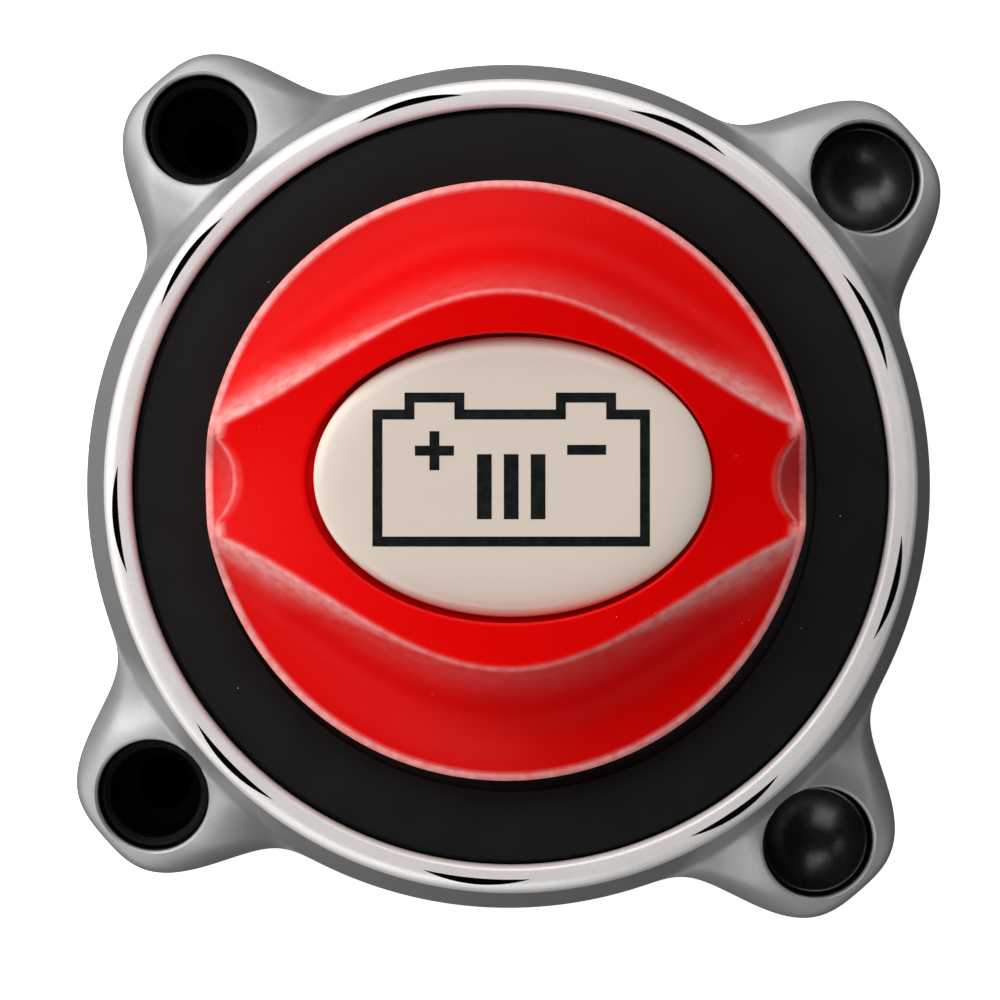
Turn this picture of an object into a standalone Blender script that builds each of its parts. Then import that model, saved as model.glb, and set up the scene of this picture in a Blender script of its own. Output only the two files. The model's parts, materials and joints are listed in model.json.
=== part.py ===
"""Marine battery isolator switch: a rotary on/off master switch with a removable red knob.

World frame: origin at the centre of the rear mounting face, +Z out of the front towards the hand,
+X to the right and +Y up as the knob faces you. The four screw ears lie on the diagonals.
Lengths are in millimetres and become metres when a mesh is made.
"""

import math

import bmesh
import bpy

MM = 0.001
GAP = 0.3  # clearance kept between neighbouring pieces

# ---- driving dimensions -------------------------------------------------------------------

SCREW_SPACING = 80.0  # square pattern of the four mounting screws
SCREW_REACH = SCREW_SPACING / math.sqrt(2)
BODY_RADIUS = 51.0
EAR_REACH = 64.7  # axis to the tip of an ear
EAR_SPREAD = math.radians(12.35)  # angular half width of an ear
EAR_POWER = 3.4  # how squarely an ear ends
EAR_AXES = [math.radians(45 + 90 * k) for k in range(4)]

# Levels above the mounting face
COVER_TOP = 2.5
BASE_REAR = 24.0  # contact base, rear and front faces
BASE_FRONT = 29.0
LEDGE = 30.5  # seat of the contact base inside the housing
SKIRT_EDGE = 26.0  # lower edge of the bezel
CHAMBER_TOP = 48.5
HOUSING_FRONT = 53.0
LABEL_RING_TOP = 54.5
BEZEL_CREST = 56.0
KNOB_SKIRT = 55.2
KNOB_FLOOR = 58.0  # lowest level that the finger scoops head for
KNOB_CREST = 74.0

# Bezel
BEZEL_BORE = 44.8
BAND_OUTER = 48.15  # outer edge of the bright rounded band
BEZEL_WALL = 2.0
BAND_DROP = 1.6  # from the band's crest down to its outer edge
FLANK_FOOT = 38.4  # where the sloping flank turns into the vertical skirt
PAD_HEIGHT = 47.5  # ear surface beside the round body
PAD_SLOPE = 0.42
WELL_RADIUS = 6.76  # hole in the silver ear
WINDOW_COUNT = 9
WINDOW_FIRST = math.radians(29)
WINDOW_ARC = 17.9  # radius of a window's outer edge
WINDOW_ARC_AT = 29.3  # distance of that arc's centre from the axis
WINDOW_INNER = 46.45
WINDOW_FLOOR = 51.0
LABEL_RING_INNER = 36.0

# Housing
SKIRT_INSET = 0.5
BARREL_RADIUS = 46.0
BARREL_TOP = 51.2
CHAMBER_RADIUS = 38.0
STUD_SPACE_RADIUS = 44.0
POST_RADIUS = 6.4
POST_TOP = 38.0
SCREW_HEAD_RADIUS = 5.5
SCREW_HEAD_SEAT = 10.0
SCREW_HOLE_RADIUS = 3.3
CABLE_HALF_WIDTH = 11.0
CABLE_TOP = 20.5
HUB_RADIUS = 10.0
SEAL_RADIUS = 12.9
SEAL_FLOOR = 50.6
COVER_SCREW_AT = 40.2
COVER_SCREW_SEAT = 1.3
COVER_SCREW_TIP = 16.0
COVER_BOSS_RADIUS = 4.6
HUB_BORE = HUB_RADIUS + 0.4

# Contact base, terminals and contacts; a pair of levels is rear and front
BASE_RADIUS = 43.6
BASE_SCREW_AT = 40.8
BASE_SCREW_TIP = 41.0
SMALL_SCREW_RADIUS = 1.7
SMALL_HEAD_RADIUS = 2.8
PILOT_RADIUS = 2.0
BARRIER_HALF = (1.6, 34.0)
STUD_AT = 21.0  # terminal studs on the X axis
STUD_RADIUS = 5.0  # M10
STUD_BORE = STUD_RADIUS + GAP
STUD_TIP = 3.0
STUD_HEAD = (30.4, 32.6)
STUD_HEAD_RADIUS = 8.2
STUD_SEAL_RADIUS = 7.6
NUT_WIDTH = 17.0  # across flats
NUT_CHAMFER = 1.6
TERMINAL_NUT = (3.3, 10.3)
LOCK_WASHER = (10.6, 12.8)
LOCK_WASHER_RADIUS = 8.3
FLAT_WASHER = (13.1, 15.1)  # in front of it, room for the cable's lug
FLAT_WASHER_RADIUS = 10.0
JAM_NUT = (18.7, 23.7)
PAD_RADIUS = 4.6
FIXED_PAD = (32.9, 33.9)
MOVING_PAD = (34.2, 35.2)
BRIDGE_LEVEL = (35.5, 39.5)
BRIDGE_HALF = (9.0, 27.0)
BRIDGE_CORNER = 5.0
BRIDGE_HOLE = 4.6

# Rotor
PIVOT_RADIUS = 4.0
PIVOT_TIP = 25.8
PIVOT_BORE = 4.3
PIVOT_FLOOR = 25.5
CAM_RADIUS = 19.0
CAM_NOTCH = 1.3
CAM_NOTCH_SPREAD = math.radians(9)
CAM_LEVEL = (41.5, 47.1)
HUB_FRONT = 54.0
FORK_OUTER = 12.4
FORK_HALF = 13.0
FORK_FOOT = 34.0
SOCKET_RADIUS = 6.1
SOCKET_FLOOR = 44.5
KEYWAY_HALF = (7.5, 3.0)
SPRING_AT = 12.5
SPRING_POCKET_RADIUS = 3.5
SPRING_TOP = 45.9
POCKET_ROOF = 46.2
LEAF_AT = 20.1  # inner face of a detent leaf spring
LEAF_HALF = 15.0
LEAF_THICKNESS = 0.5
LEAF_BUMP = 1.55
LEAF_LEVEL = (42.2, 46.4)
THRUST_WASHER = (47.4, 48.2)
THRUST_WASHER_RADIUS = 17.5

# Knob, in its own frame with X along the grip
KNOB_RADIUS = 35.3
RIM_ROUND = 0.9
CREST_HALF = 21.85  # half width of the grip between its two crests
CREST_LENGTH = 30.5
CREST_FALL = 7.0  # how much lower the crests are at the knob's edge
GRIP_DISH = 2.0
SCOOP_RISE = 3.5
SCOOP_WIDTH = 3.8
NOTCH_RADIUS = 8.34
NOTCH_AT = 38.9
KNOB_WALL = 3.2
LABEL_SEAT = (23.6, 16.75)
LABEL_SEAT_AT = (0.35, 0.25)
LABEL_HALF = (23.0, 16.2)
LABEL_AT = (0.6, 0.4)
LABEL_FLOOR = 69.6
LABEL_THICKNESS = 2.35
STEM_RADIUS = 4.8
STEM_ROOT_RADIUS = 5.8
STEM_ROOT = 57.5
STEM_FOOT = 46.0
KEY_HALF = (5.9, 1.4)
# The loose knob rests against one side of its drive socket, a little turned and off centre.
KNOB_REST_TURN = math.radians(4.1)
KNOB_REST_SHIFT = (-0.74, 0.58)

AROUND = 28  # facets around an ordinary turned piece
LARGE_AROUND = 48  # facets around one as wide as the body


# ---- materials ----------------------------------------------------------------------------


def make_material(name, colour, roughness, metallic=0.0):
    material = bpy.data.materials.new(name)
    material.use_nodes = True
    shader = material.node_tree.nodes["Principled BSDF"]
    shader.inputs["Base Color"].default_value = (*colour, 1.0)
    shader.inputs["Roughness"].default_value = roughness
    shader.inputs["Metallic"].default_value = metallic
    material.diffuse_color = (*colour, 1.0)
    return material


def make_materials():
    return {
        "silver_paint": make_material("silver_paint", (0.62, 0.61, 0.60), 0.38, 0.7),
        "black_label": make_material("black_label", (0.013, 0.012, 0.012), 0.55),
        "red_plastic": make_material("red_plastic", (0.75, 0.006, 0.006), 0.4),
        "cream_label": make_material("cream_label", (0.75, 0.66, 0.57), 0.12),
        "black_plastic": make_material("black_plastic", (0.012, 0.013, 0.014), 0.35),
        "white_acetal": make_material("white_acetal", (0.80, 0.79, 0.75), 0.35),
        "copper": make_material("copper", (0.72, 0.33, 0.18), 0.3, 1.0),
        "tinned_copper": make_material("tinned_copper", (0.70, 0.69, 0.66), 0.3, 1.0),
        "silver_contact": make_material("silver_contact", (0.86, 0.85, 0.82), 0.2, 1.0),
        "stainless": make_material("stainless", (0.62, 0.62, 0.61), 0.28, 1.0),
        "brass": make_material("brass", (0.72, 0.52, 0.22), 0.3, 1.0),
        "rubber": make_material("rubber", (0.02, 0.02, 0.02), 0.8),
    }


# ---- mesh helpers -------------------------------------------------------------------------


def polar(radius, angle, height):
    return (radius * math.cos(angle), radius * math.sin(angle), height)


def add_rings(bm, rings, closed):
    """Skins rings of points. One-point rings are poles; closed joins the last ring to the first."""
    made = [[bm.verts.new(point) for point in ring] for ring in rings]
    pairs = list(zip(made, made[1:]))
    if closed:
        pairs.append((made[-1], made[0]))
    for one, two in pairs:
        count = max(len(one), len(two))
        for i in range(count):
            j = (i + 1) % count
            corners = [one[i % len(one)], one[j % len(one)], two[j % len(two)], two[i % len(two)]]
            bm.faces.new(list(dict.fromkeys(corners)))


def add_bar(bm, sections):
    """Skins equal cross-sections one after another and caps both ends."""
    made = [[bm.verts.new(point) for point in section] for section in sections]
    for one, two in zip(made, made[1:]):
        for i in range(len(one)):
            j = (i + 1) % len(one)
            bm.faces.new([one[i], one[j], two[j], two[i]])
    bm.faces.new(made[0])
    bm.faces.new(made[-1])


def add_turned(bm, profile, segments=AROUND, centre=(0.0, 0.0)):
    """Turns a profile of (radius, height) points. It runs from axis to axis, or is a closed loop."""
    rings = []
    for radius, height in profile:
        ring = []
        for i in range(segments if radius else 1):
            x, y, z = polar(radius, 2 * math.pi * i / segments, height)
            ring.append((centre[0] + x, centre[1] + y, z))
        rings.append(ring)
    add_rings(bm, rings, closed=profile[0][0] > 0)


def add_cylinder(bm, radius, low, high, centre=(0.0, 0.0), segments=AROUND):
    add_turned(bm, [(0, low), (radius, low), (radius, high), (0, high)], segments, centre)


def add_tube(bm, inner, outer, low, high, centre=(0.0, 0.0), segments=AROUND):
    add_turned(bm, [(inner, low), (outer, low), (outer, high), (inner, high)], segments, centre)


def add_prism(bm, outline, low, high):
    """Extrudes an outline of (x, y) points, counter-clockwise, between two levels."""
    add_bar(bm, [[(x, y, z) for x, y in outline] for z in (low, high)])


def add_box(bm, low, high):
    corners = [(low[0], low[1]), (high[0], low[1]), (high[0], high[1]), (low[0], high[1])]
    add_prism(bm, corners, low[2], high[2])


def finish_mesh(name, bm, smooth_angle):
    bmesh.ops.recalc_face_normals(bm, faces=bm.faces)
    bmesh.ops.scale(bm, vec=(MM, MM, MM), verts=bm.verts)
    mesh = bpy.data.meshes.new(name)
    bm.to_mesh(mesh)
    bm.free()
    mesh.shade_smooth()
    mesh.set_sharp_from_angle(angle=math.radians(smooth_angle))
    return mesh


def add_object(name, bm, material=None, parent=None, smooth_angle=35):
    obj = bpy.data.objects.new(name, finish_mesh(name, bm, smooth_angle))
    bpy.context.scene.collection.objects.link(obj)
    if material:
        obj.data.materials.append(material)
    obj.parent = parent
    return obj


def place(obj, x=0.0, y=0.0, z=0.0, turn=0.0):
    obj.location = (x * MM, y * MM, z * MM)
    obj.rotation_euler = (0.0, 0.0, turn)
    return obj


def copy_piece(source, name, x=0.0, y=0.0, z=0.0, turn=0.0):
    """Another piece that shares its mesh, material and parent."""
    obj = bpy.data.objects.new(name, source.data)
    bpy.context.scene.collection.objects.link(obj)
    obj.parent = source.parent
    return place(obj, x, y, z, turn)


def carve(obj, name, bm, operation="DIFFERENCE"):
    """Adds a Boolean with a helper that stays out of the render."""
    helper = add_object(name, bm, parent=obj)
    helper.hide_render = True
    helper.display_type = "WIRE"
    modifier = obj.modifiers.new(name, "BOOLEAN")
    modifier.object = helper
    modifier.operation = operation
    modifier.solver = "EXACT"


def add_axis(name, z, parent=None):
    empty = bpy.data.objects.new(name, None)
    empty.empty_display_size = 10 * MM
    bpy.context.scene.collection.objects.link(empty)
    empty.parent = parent
    return place(empty, z=z)


def ear_centres():
    return [(SCREW_REACH * math.cos(a), SCREW_REACH * math.sin(a)) for a in EAR_AXES]


# ---- outline shared by the bezel and the housing ------------------------------------------


def off_ear(angle):
    """Angle from the nearest ear's axis."""
    quarter = math.pi / 2
    return abs((angle - EAR_AXES[0] + quarter / 2) % quarter - quarter / 2)


def outline_radius(angle):
    lobe = math.exp(-((off_ear(angle) / EAR_SPREAD) ** EAR_POWER))
    return BODY_RADIUS + (EAR_REACH - BODY_RADIUS) * lobe


def outline_angles():
    """Angles round the body, close together on the ears and wide apart between them."""
    offsets = [0, 4, 7, 9.5, 12, 14.5, 18, 25, 35]
    quarter = sorted({-o for o in offsets} | set(offsets)) + [45]
    return [axis + math.radians(o) for axis in EAR_AXES for o in quarter]


def smooth_max(a, b, blend):
    h = max(blend - abs(a - b), 0.0) / blend
    return max(a, b) + h * h * blend / 4


def rings_of(sections, angles):
    """Turns one (radius, height) section at each angle into rings that run round the axis."""
    return [[polar(r, a, z) for (r, z), a in zip(ring, angles)] for ring in zip(*sections)]


# ---- bezel --------------------------------------------------------------------------------


def bezel_height(radius, angle):
    """Outer surface of the bezel outside its bright band: steep flank melting into the ears."""
    reach = outline_radius(angle)
    along = (radius - BAND_OUTER) / (BODY_RADIUS - BAND_OUTER)
    flank = BEZEL_CREST - BAND_DROP - (BEZEL_CREST - BAND_DROP - FLANK_FOOT) * along
    pad = PAD_HEIGHT - PAD_SLOPE * (radius - BODY_RADIUS)
    rounding = 0.42 * (reach - BAND_OUTER)
    inward = min((reach - radius) / rounding, 1.0)
    edge = math.sqrt(max(1.0 - (1.0 - inward) ** 2, 0.0))
    width = math.exp(-((off_ear(angle) / (1.15 * EAR_SPREAD)) ** 4))
    ear = FLANK_FOOT + (pad - FLANK_FOOT) * edge * width
    return smooth_max(max(flank, FLANK_FOOT), ear, 5.0 * width + 0.01)


def bezel_section(angle):
    """Closed cross-section of the bezel at one angle: outside down, then the inside back up."""
    reach = outline_radius(angle)
    band = [(0, -2.7), (0, -0.6), (1.0, 0), (2.4, -0.2), (BAND_OUTER - BEZEL_BORE, -BAND_DROP)]
    outside = [(BEZEL_BORE + r, BEZEL_CREST + z) for r, z in band]
    for t in (0.1, 0.25, 0.5, 0.75, 0.92, 1.0):
        radius = BAND_OUTER + (reach - BAND_OUTER) * t
        outside.append((radius, bezel_height(radius, angle)))
    outside.append((reach, SKIRT_EDGE))
    inside = [(reach - BEZEL_WALL, SKIRT_EDGE)]
    start = BARREL_RADIUS + GAP
    for t in (1.0, 0.75, 0.3, 0.0):
        radius = BAND_OUTER + (reach - BAND_OUTER) * t
        inner_radius = start + (reach - BEZEL_WALL - start) * t
        inside.append((inner_radius, bezel_height(radius, angle) - BEZEL_WALL - 0.4))
    return outside + inside


def build_bezel(material):
    angles = outline_angles()
    sections = [bezel_section(a) for a in angles]
    bm = bmesh.new()
    add_rings(bm, rings_of(sections, angles), closed=True)
    bezel = add_object("bezel", bm, material)
    wells = bmesh.new()
    for centre in ear_centres():
        add_cylinder(wells, WELL_RADIUS, SKIRT_EDGE - 1, BEZEL_CREST, centre, segments=24)
    carve(bezel, "bezel_well_cutter", wells)
    windows = bmesh.new()
    for k in range(WINDOW_COUNT):
        outline = window_outline(WINDOW_FIRST + 2 * math.pi * k / WINDOW_COUNT)
        add_prism(windows, outline, WINDOW_FLOOR, BEZEL_CREST + 1)
    carve(bezel, "bezel_window_cutter", windows)
    return bezel


def window_outline(direction, steps=6):
    """Lens between a small arc on the outside and a circle about the switch's axis on the inside."""
    across = WINDOW_INNER**2 + WINDOW_ARC_AT**2 - WINDOW_ARC**2
    reach = math.acos(across / (2 * WINDOW_INNER * WINDOW_ARC_AT))
    tip = (WINDOW_INNER * math.cos(reach) - WINDOW_ARC_AT, WINDOW_INNER * math.sin(reach))
    sweep = math.atan2(tip[1], tip[0])
    points = []
    for i in range(steps + 1):
        a = -sweep + 2 * sweep * i / steps
        points.append((WINDOW_ARC_AT + WINDOW_ARC * math.cos(a), WINDOW_ARC * math.sin(a)))
    for i in range(1, steps):
        a = reach - 2 * reach * i / steps
        points.append((WINDOW_INNER * math.cos(a), WINDOW_INNER * math.sin(a)))
    c, s = math.cos(direction), math.sin(direction)
    return [(x * c - y * s, x * s + y * c) for x, y in points]


def build_label_ring(material):
    bm = bmesh.new()
    low = HOUSING_FRONT + GAP
    add_tube(bm, LABEL_RING_INNER, BEZEL_BORE - 2 * GAP, low, LABEL_RING_TOP, segments=LARGE_AROUND)
    return add_object("label_ring", bm, material)


# ---- housing ------------------------------------------------------------------------------


def build_housing(material):
    angles = outline_angles()
    skirt = [polar(outline_radius(a) - SKIRT_INSET, a, 0)[:2] for a in angles]
    bm = bmesh.new()
    add_prism(bm, skirt, 0, SKIRT_EDGE - GAP)
    housing = add_object("housing", bm, material)
    add_barrel_and_posts(housing)
    cut_rooms(housing)
    add_inner_bosses(housing)
    cut_screw_holes(housing)
    entries = bmesh.new()
    for side in (-1, 1):
        add_cable_arch(entries, side)
    carve(housing, "cable_entry_cutter", entries)
    return housing


def add_barrel_and_posts(housing):
    foot = SKIRT_EDGE - 6
    shoulder = BEZEL_BORE - GAP
    upper = bmesh.new()
    barrel = [(0, foot), (BARREL_RADIUS, foot), (BARREL_RADIUS, BARREL_TOP), (shoulder, BARREL_TOP)]
    barrel += [(shoulder, HOUSING_FRONT), (0, HOUSING_FRONT)]
    add_turned(upper, barrel, segments=LARGE_AROUND)
    carve(housing, "barrel", upper, "UNION")
    posts = bmesh.new()
    for centre in ear_centres():
        add_cylinder(posts, POST_RADIUS, foot, POST_TOP, centre, segments=22)
    carve(housing, "screw_posts", posts, "UNION")


def cut_rooms(housing):
    """Stud room, contact chamber, hub bore and seal groove, one behind the other on the axis."""
    hollow = bmesh.new()
    rooms = [(0, -1), (STUD_SPACE_RADIUS, -1), (STUD_SPACE_RADIUS, LEDGE), (CHAMBER_RADIUS, LEDGE)]
    rooms += [(CHAMBER_RADIUS, CHAMBER_TOP), (HUB_BORE, CHAMBER_TOP), (HUB_BORE, SEAL_FLOOR)]
    rooms += [(SEAL_RADIUS, SEAL_FLOOR), (SEAL_RADIUS, HOUSING_FRONT + 1), (0, HOUSING_FRONT + 1)]
    add_turned(hollow, rooms, segments=LARGE_AROUND)
    carve(housing, "rooms_cutter", hollow)


def add_inner_bosses(housing):
    """Bosses for the cover's screws, and the seats that hold the ends of the detent springs."""
    bosses = bmesh.new()
    for side in (-1, 1):
        centre = (0, side * (COVER_SCREW_AT + 0.4))
        add_cylinder(bosses, COVER_BOSS_RADIUS, COVER_TOP + GAP, BASE_REAR - GAP, centre, 24)
    carve(housing, "cover_bosses", bosses, "UNION")
    seats = bmesh.new()
    for sx in (-1, 1):
        for sy in (-1, 1):
            x = sorted((sx * (LEAF_AT + LEAF_THICKNESS + GAP), sx * (LEAF_AT + 3.3)))
            y = sorted((sy * 12.0, sy * 15.5))
            add_box(seats, (x[0], y[0], CAM_LEVEL[0]), (x[1], y[1], CHAMBER_TOP + 1))
    carve(housing, "detent_spring_seats", seats, "UNION")


def cut_screw_holes(housing):
    wells = bmesh.new()
    head, neck, over = SCREW_HEAD_RADIUS, SCREW_HOLE_RADIUS, POST_TOP + 1
    well = [(0, -1), (neck, -1), (neck, SCREW_HEAD_SEAT), (head, SCREW_HEAD_SEAT), (head, over), (0, over)]
    for centre in ear_centres():
        add_turned(wells, well, 18, centre)
    carve(housing, "screw_well_cutter", wells)
    pilots = bmesh.new()
    for a in EAR_AXES:
        centre = polar(BASE_SCREW_AT, a, 0)[:2]
        add_cylinder(pilots, PILOT_RADIUS, LEDGE - 2, BASE_SCREW_TIP + 0.5, centre, 12)
    for side in (-1, 1):
        add_cylinder(pilots, PILOT_RADIUS, 0.5, COVER_SCREW_TIP + 1, (0, side * COVER_SCREW_AT), 12)
    carve(housing, "pilot_hole_cutter", pilots)


def add_cable_arch(bm, side):
    """Arched cable entry through the skirt, open at the mounting face."""
    steps = 12
    spring = CABLE_TOP - CABLE_HALF_WIDTH
    arch = [(-CABLE_HALF_WIDTH, -1), (CABLE_HALF_WIDTH, -1)]
    for i in range(steps + 1):
        a = math.pi * i / steps
        arch.append((CABLE_HALF_WIDTH * math.cos(a), spring + CABLE_HALF_WIDTH * math.sin(a)))
    ends = (side * (STUD_SPACE_RADIUS - 2), side * (BODY_RADIUS + 2))
    add_bar(bm, [[(x, y, z) for y, z in arch] for x in ends])


def build_rear_cover(material):
    bm = bmesh.new()
    add_cylinder(bm, BASE_RADIUS, 0, COVER_TOP, segments=LARGE_AROUND)
    cover = add_object("rear_cover", bm, material)
    holes = bmesh.new()
    head, neck, over = SMALL_HEAD_RADIUS + GAP, SMALL_SCREW_RADIUS + GAP, COVER_TOP + 1
    profile = [(0, -1), (head, -1), (head, COVER_SCREW_SEAT), (neck, COVER_SCREW_SEAT)]
    profile += [(neck, over), (0, over)]
    for side in (-1, 1):
        add_turned(holes, profile, 20, (0, side * COVER_SCREW_AT))
    carve(cover, "cover_screw_hole_cutter", holes)
    return cover


def build_cover_screws(material):
    under = COVER_SCREW_SEAT - GAP
    bm = bmesh.new()
    profile = [(0, 0.1), (SMALL_HEAD_RADIUS - 0.1, 0.1), (SMALL_HEAD_RADIUS, under)]
    profile += [(SMALL_SCREW_RADIUS, under), (SMALL_SCREW_RADIUS, COVER_SCREW_TIP - 1)]
    profile += [(SMALL_SCREW_RADIUS - 0.5, COVER_SCREW_TIP), (0, COVER_SCREW_TIP)]
    add_turned(bm, profile, 14)
    first = place(add_object("cover_screw_1", bm, material), y=COVER_SCREW_AT)
    copy_piece(first, "cover_screw_2", y=-COVER_SCREW_AT)


# ---- contact base and terminals -----------------------------------------------------------


def build_contact_base(material):
    bm = bmesh.new()
    add_cylinder(bm, BASE_RADIUS, BASE_REAR, BASE_FRONT, segments=LARGE_AROUND)
    base = add_object("contact_base", bm, material)
    web = bmesh.new()
    x, y = BARRIER_HALF
    add_box(web, (-x, -y, COVER_TOP + GAP), (x, y, BASE_REAR + 1))
    carve(base, "terminal_barrier", web, "UNION")
    holes = bmesh.new()
    for side in (-1, 1):
        add_cylinder(holes, STUD_BORE, BASE_REAR - 1, BASE_FRONT + 1, (side * STUD_AT, 0), 24)
    add_base_screw_holes(holes, BASE_REAR - 1, BASE_FRONT + 1)
    add_cylinder(holes, PIVOT_BORE, PIVOT_FLOOR, BASE_FRONT + 1, segments=24)
    carve(base, "base_hole_cutter", holes)
    return base


def add_base_screw_holes(bm, low, high):
    for a in EAR_AXES:
        add_cylinder(bm, SMALL_SCREW_RADIUS + 0.5, low, high, polar(BASE_SCREW_AT, a, 0)[:2], 12)


def build_base_seal(material):
    inner, outer = CHAMBER_RADIUS + GAP, BASE_RADIUS - GAP
    bm = bmesh.new()
    add_tube(bm, inner, outer, BASE_FRONT + GAP, LEDGE - GAP, segments=LARGE_AROUND)
    seal = add_object("base_seal", bm, material)
    holes = bmesh.new()
    add_base_screw_holes(holes, BASE_FRONT - 1, LEDGE + 1)
    carve(seal, "seal_hole_cutter", holes)


def build_base_screws(material):
    bm = bmesh.new()
    seat = BASE_REAR - GAP
    head, shank = SMALL_HEAD_RADIUS - 0.1, SMALL_SCREW_RADIUS
    profile = [(0, seat - 2.4), (head - 0.5, seat - 2.4), (head, seat - 1.8), (head, seat), (shank, seat)]
    profile += [(shank, BASE_SCREW_TIP - 1), (shank - 0.6, BASE_SCREW_TIP), (0, BASE_SCREW_TIP)]
    add_turned(bm, profile, 14)
    mesh_owner = add_object("base_screw_1", bm, material)
    for k, a in enumerate(EAR_AXES):
        x, y, _ = polar(BASE_SCREW_AT, a, 0)
        if k == 0:
            place(mesh_owner, x, y)
        else:
            copy_piece(mesh_owner, f"base_screw_{k + 1}", x, y)


def build_nut(name, low, high, material):
    corner = NUT_WIDTH / math.sqrt(3)
    bm = bmesh.new()
    add_prism(bm, [polar(corner, math.pi * k / 3, 0)[:2] for k in range(6)], low, high)
    nut = add_object(name, bm, material, smooth_angle=25)
    hole = bmesh.new()
    add_cylinder(hole, STUD_BORE, low - 1, high + 1, segments=24)
    carve(nut, name + "_bore_cutter", hole)
    chamfer = bmesh.new()
    wide, cone = corner + 1, NUT_WIDTH / 2 - 0.2
    profile = [(0, low - 1), (cone, low - 1), (cone, low), (wide, low + NUT_CHAMFER)]
    profile += [(wide, high - NUT_CHAMFER), (cone, high), (cone, high + 1), (0, high + 1)]
    add_turned(chamfer, profile, 24)
    carve(nut, name + "_chamfer_envelope", chamfer, "INTERSECT")
    return nut


def build_terminal(letter, side, materials):
    """One terminal, from its contact pad in the chamber to the nut that holds the cable lug."""
    seal = (STUD_SEAL_RADIUS, BASE_FRONT + GAP, STUD_HEAD[0] - GAP)
    pieces = [
        build_stud("terminal_stud_" + letter, materials["tinned_copper"]),
        build_contact("fixed_contact_" + letter, *FIXED_PAD, materials["silver_contact"]),
        build_ring("stud_seal_" + letter, *seal, materials["rubber"]),
        build_ring("flat_washer_" + letter, FLAT_WASHER_RADIUS, *FLAT_WASHER, materials["stainless"]),
        build_lock_washer("lock_washer_" + letter, materials["stainless"]),
        build_nut("jam_nut_" + letter, *JAM_NUT, materials["brass"]),
        build_nut("terminal_nut_" + letter, *TERMINAL_NUT, materials["stainless"]),
    ]
    for piece in pieces:
        place(piece, x=side * STUD_AT)


def build_stud(name, material):
    under, top = STUD_HEAD
    shank, head = STUD_RADIUS, STUD_HEAD_RADIUS
    profile = [(0, STUD_TIP), (shank - 0.8, STUD_TIP), (shank, STUD_TIP + 0.8), (shank, under)]
    profile += [(head, under), (head, top - 0.4), (head - 0.4, top), (0, top)]
    bm = bmesh.new()
    add_turned(bm, profile, 24)
    return add_object(name, bm, material)


def build_contact(name, back, face, material, parent=None):
    """Contact pad with a bevelled edge round its face; face is below back on a moving one."""
    edge = face + math.copysign(0.3, back - face)
    profile = [(0, back), (PAD_RADIUS, back), (PAD_RADIUS, edge), (PAD_RADIUS - 0.5, face), (0, face)]
    bm = bmesh.new()
    add_turned(bm, profile, 24)
    return add_object(name, bm, material, parent)


def build_ring(name, outer, low, high, material):
    bm = bmesh.new()
    add_tube(bm, STUD_BORE, outer, low, high, segments=24)
    return add_object(name, bm, material)


def build_lock_washer(name, material, steps=24):
    """Split spring washer: one helical turn of square section with a narrow cut."""
    opening, rise = math.radians(6), 0.35
    (low, high), outer = LOCK_WASHER, LOCK_WASHER_RADIUS
    section = [(STUD_BORE, low), (outer, low), (outer, high - rise), (STUD_BORE, high - rise)]
    sections = []
    for i in range(steps + 1):
        a = opening + (2 * math.pi - 2 * opening) * i / steps
        sections.append([polar(r, a, z + rise * i / steps) for r, z in section])
    bm = bmesh.new()
    add_bar(bm, sections)
    return add_object(name, bm, material)


# ---- rotor --------------------------------------------------------------------------------


def cam_outline(steps=64):
    """Round cam with a detent notch at each quarter turn."""
    points = []
    for i in range(steps):
        a = 2 * math.pi * i / steps
        off = abs((a + math.pi / 4) % (math.pi / 2) - math.pi / 4)
        depth = CAM_NOTCH * math.exp(-((off / CAM_NOTCH_SPREAD) ** 2))
        points.append(polar(CAM_RADIUS - depth, a, 0)[:2])
    return points


def build_rotor(axis, material):
    """Cam flange with its hub towards the knob and a fork over the contact bridge."""
    bm = bmesh.new()
    add_prism(bm, cam_outline(), *CAM_LEVEL)
    rotor = place(add_object("rotor", bm, material, axis, smooth_angle=30), z=-CHAMBER_TOP)
    core = bmesh.new()
    inside_cam = CAM_LEVEL[0] + 0.5
    post = [(0, PIVOT_TIP), (PIVOT_RADIUS, PIVOT_TIP), (PIVOT_RADIUS, inside_cam), (HUB_RADIUS, inside_cam)]
    post += [(HUB_RADIUS, HUB_FRONT - 0.3), (HUB_RADIUS - 0.3, HUB_FRONT), (0, HUB_FRONT)]
    add_turned(core, post)
    carve(rotor, "hub_and_pivot", core, "UNION")
    fork = bmesh.new()
    for side in (-1, 1):
        x = sorted((side * (BRIDGE_HALF[0] + GAP), side * FORK_OUTER))
        add_box(fork, (x[0], -FORK_HALF, FORK_FOOT), (x[1], FORK_HALF, inside_cam))
    carve(rotor, "bridge_fork", fork, "UNION")
    socket = bmesh.new()
    add_cylinder(socket, SOCKET_RADIUS, SOCKET_FLOOR, HUB_FRONT + 1, segments=36)
    carve(rotor, "knob_socket_cutter", socket)
    keyway = bmesh.new()
    x, y = KEYWAY_HALF
    add_box(keyway, (-x, -y, SOCKET_FLOOR), (x, y, HUB_FRONT + 1))
    carve(rotor, "keyway_cutter", keyway)
    pockets = bmesh.new()
    mouth = CAM_LEVEL[0] - 0.5
    for side in (-1, 1):
        add_cylinder(pockets, SPRING_POCKET_RADIUS, mouth, POCKET_ROOF, (0, side * SPRING_AT), 20)
    carve(rotor, "spring_pocket_cutter", pockets)
    return rotor


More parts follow.
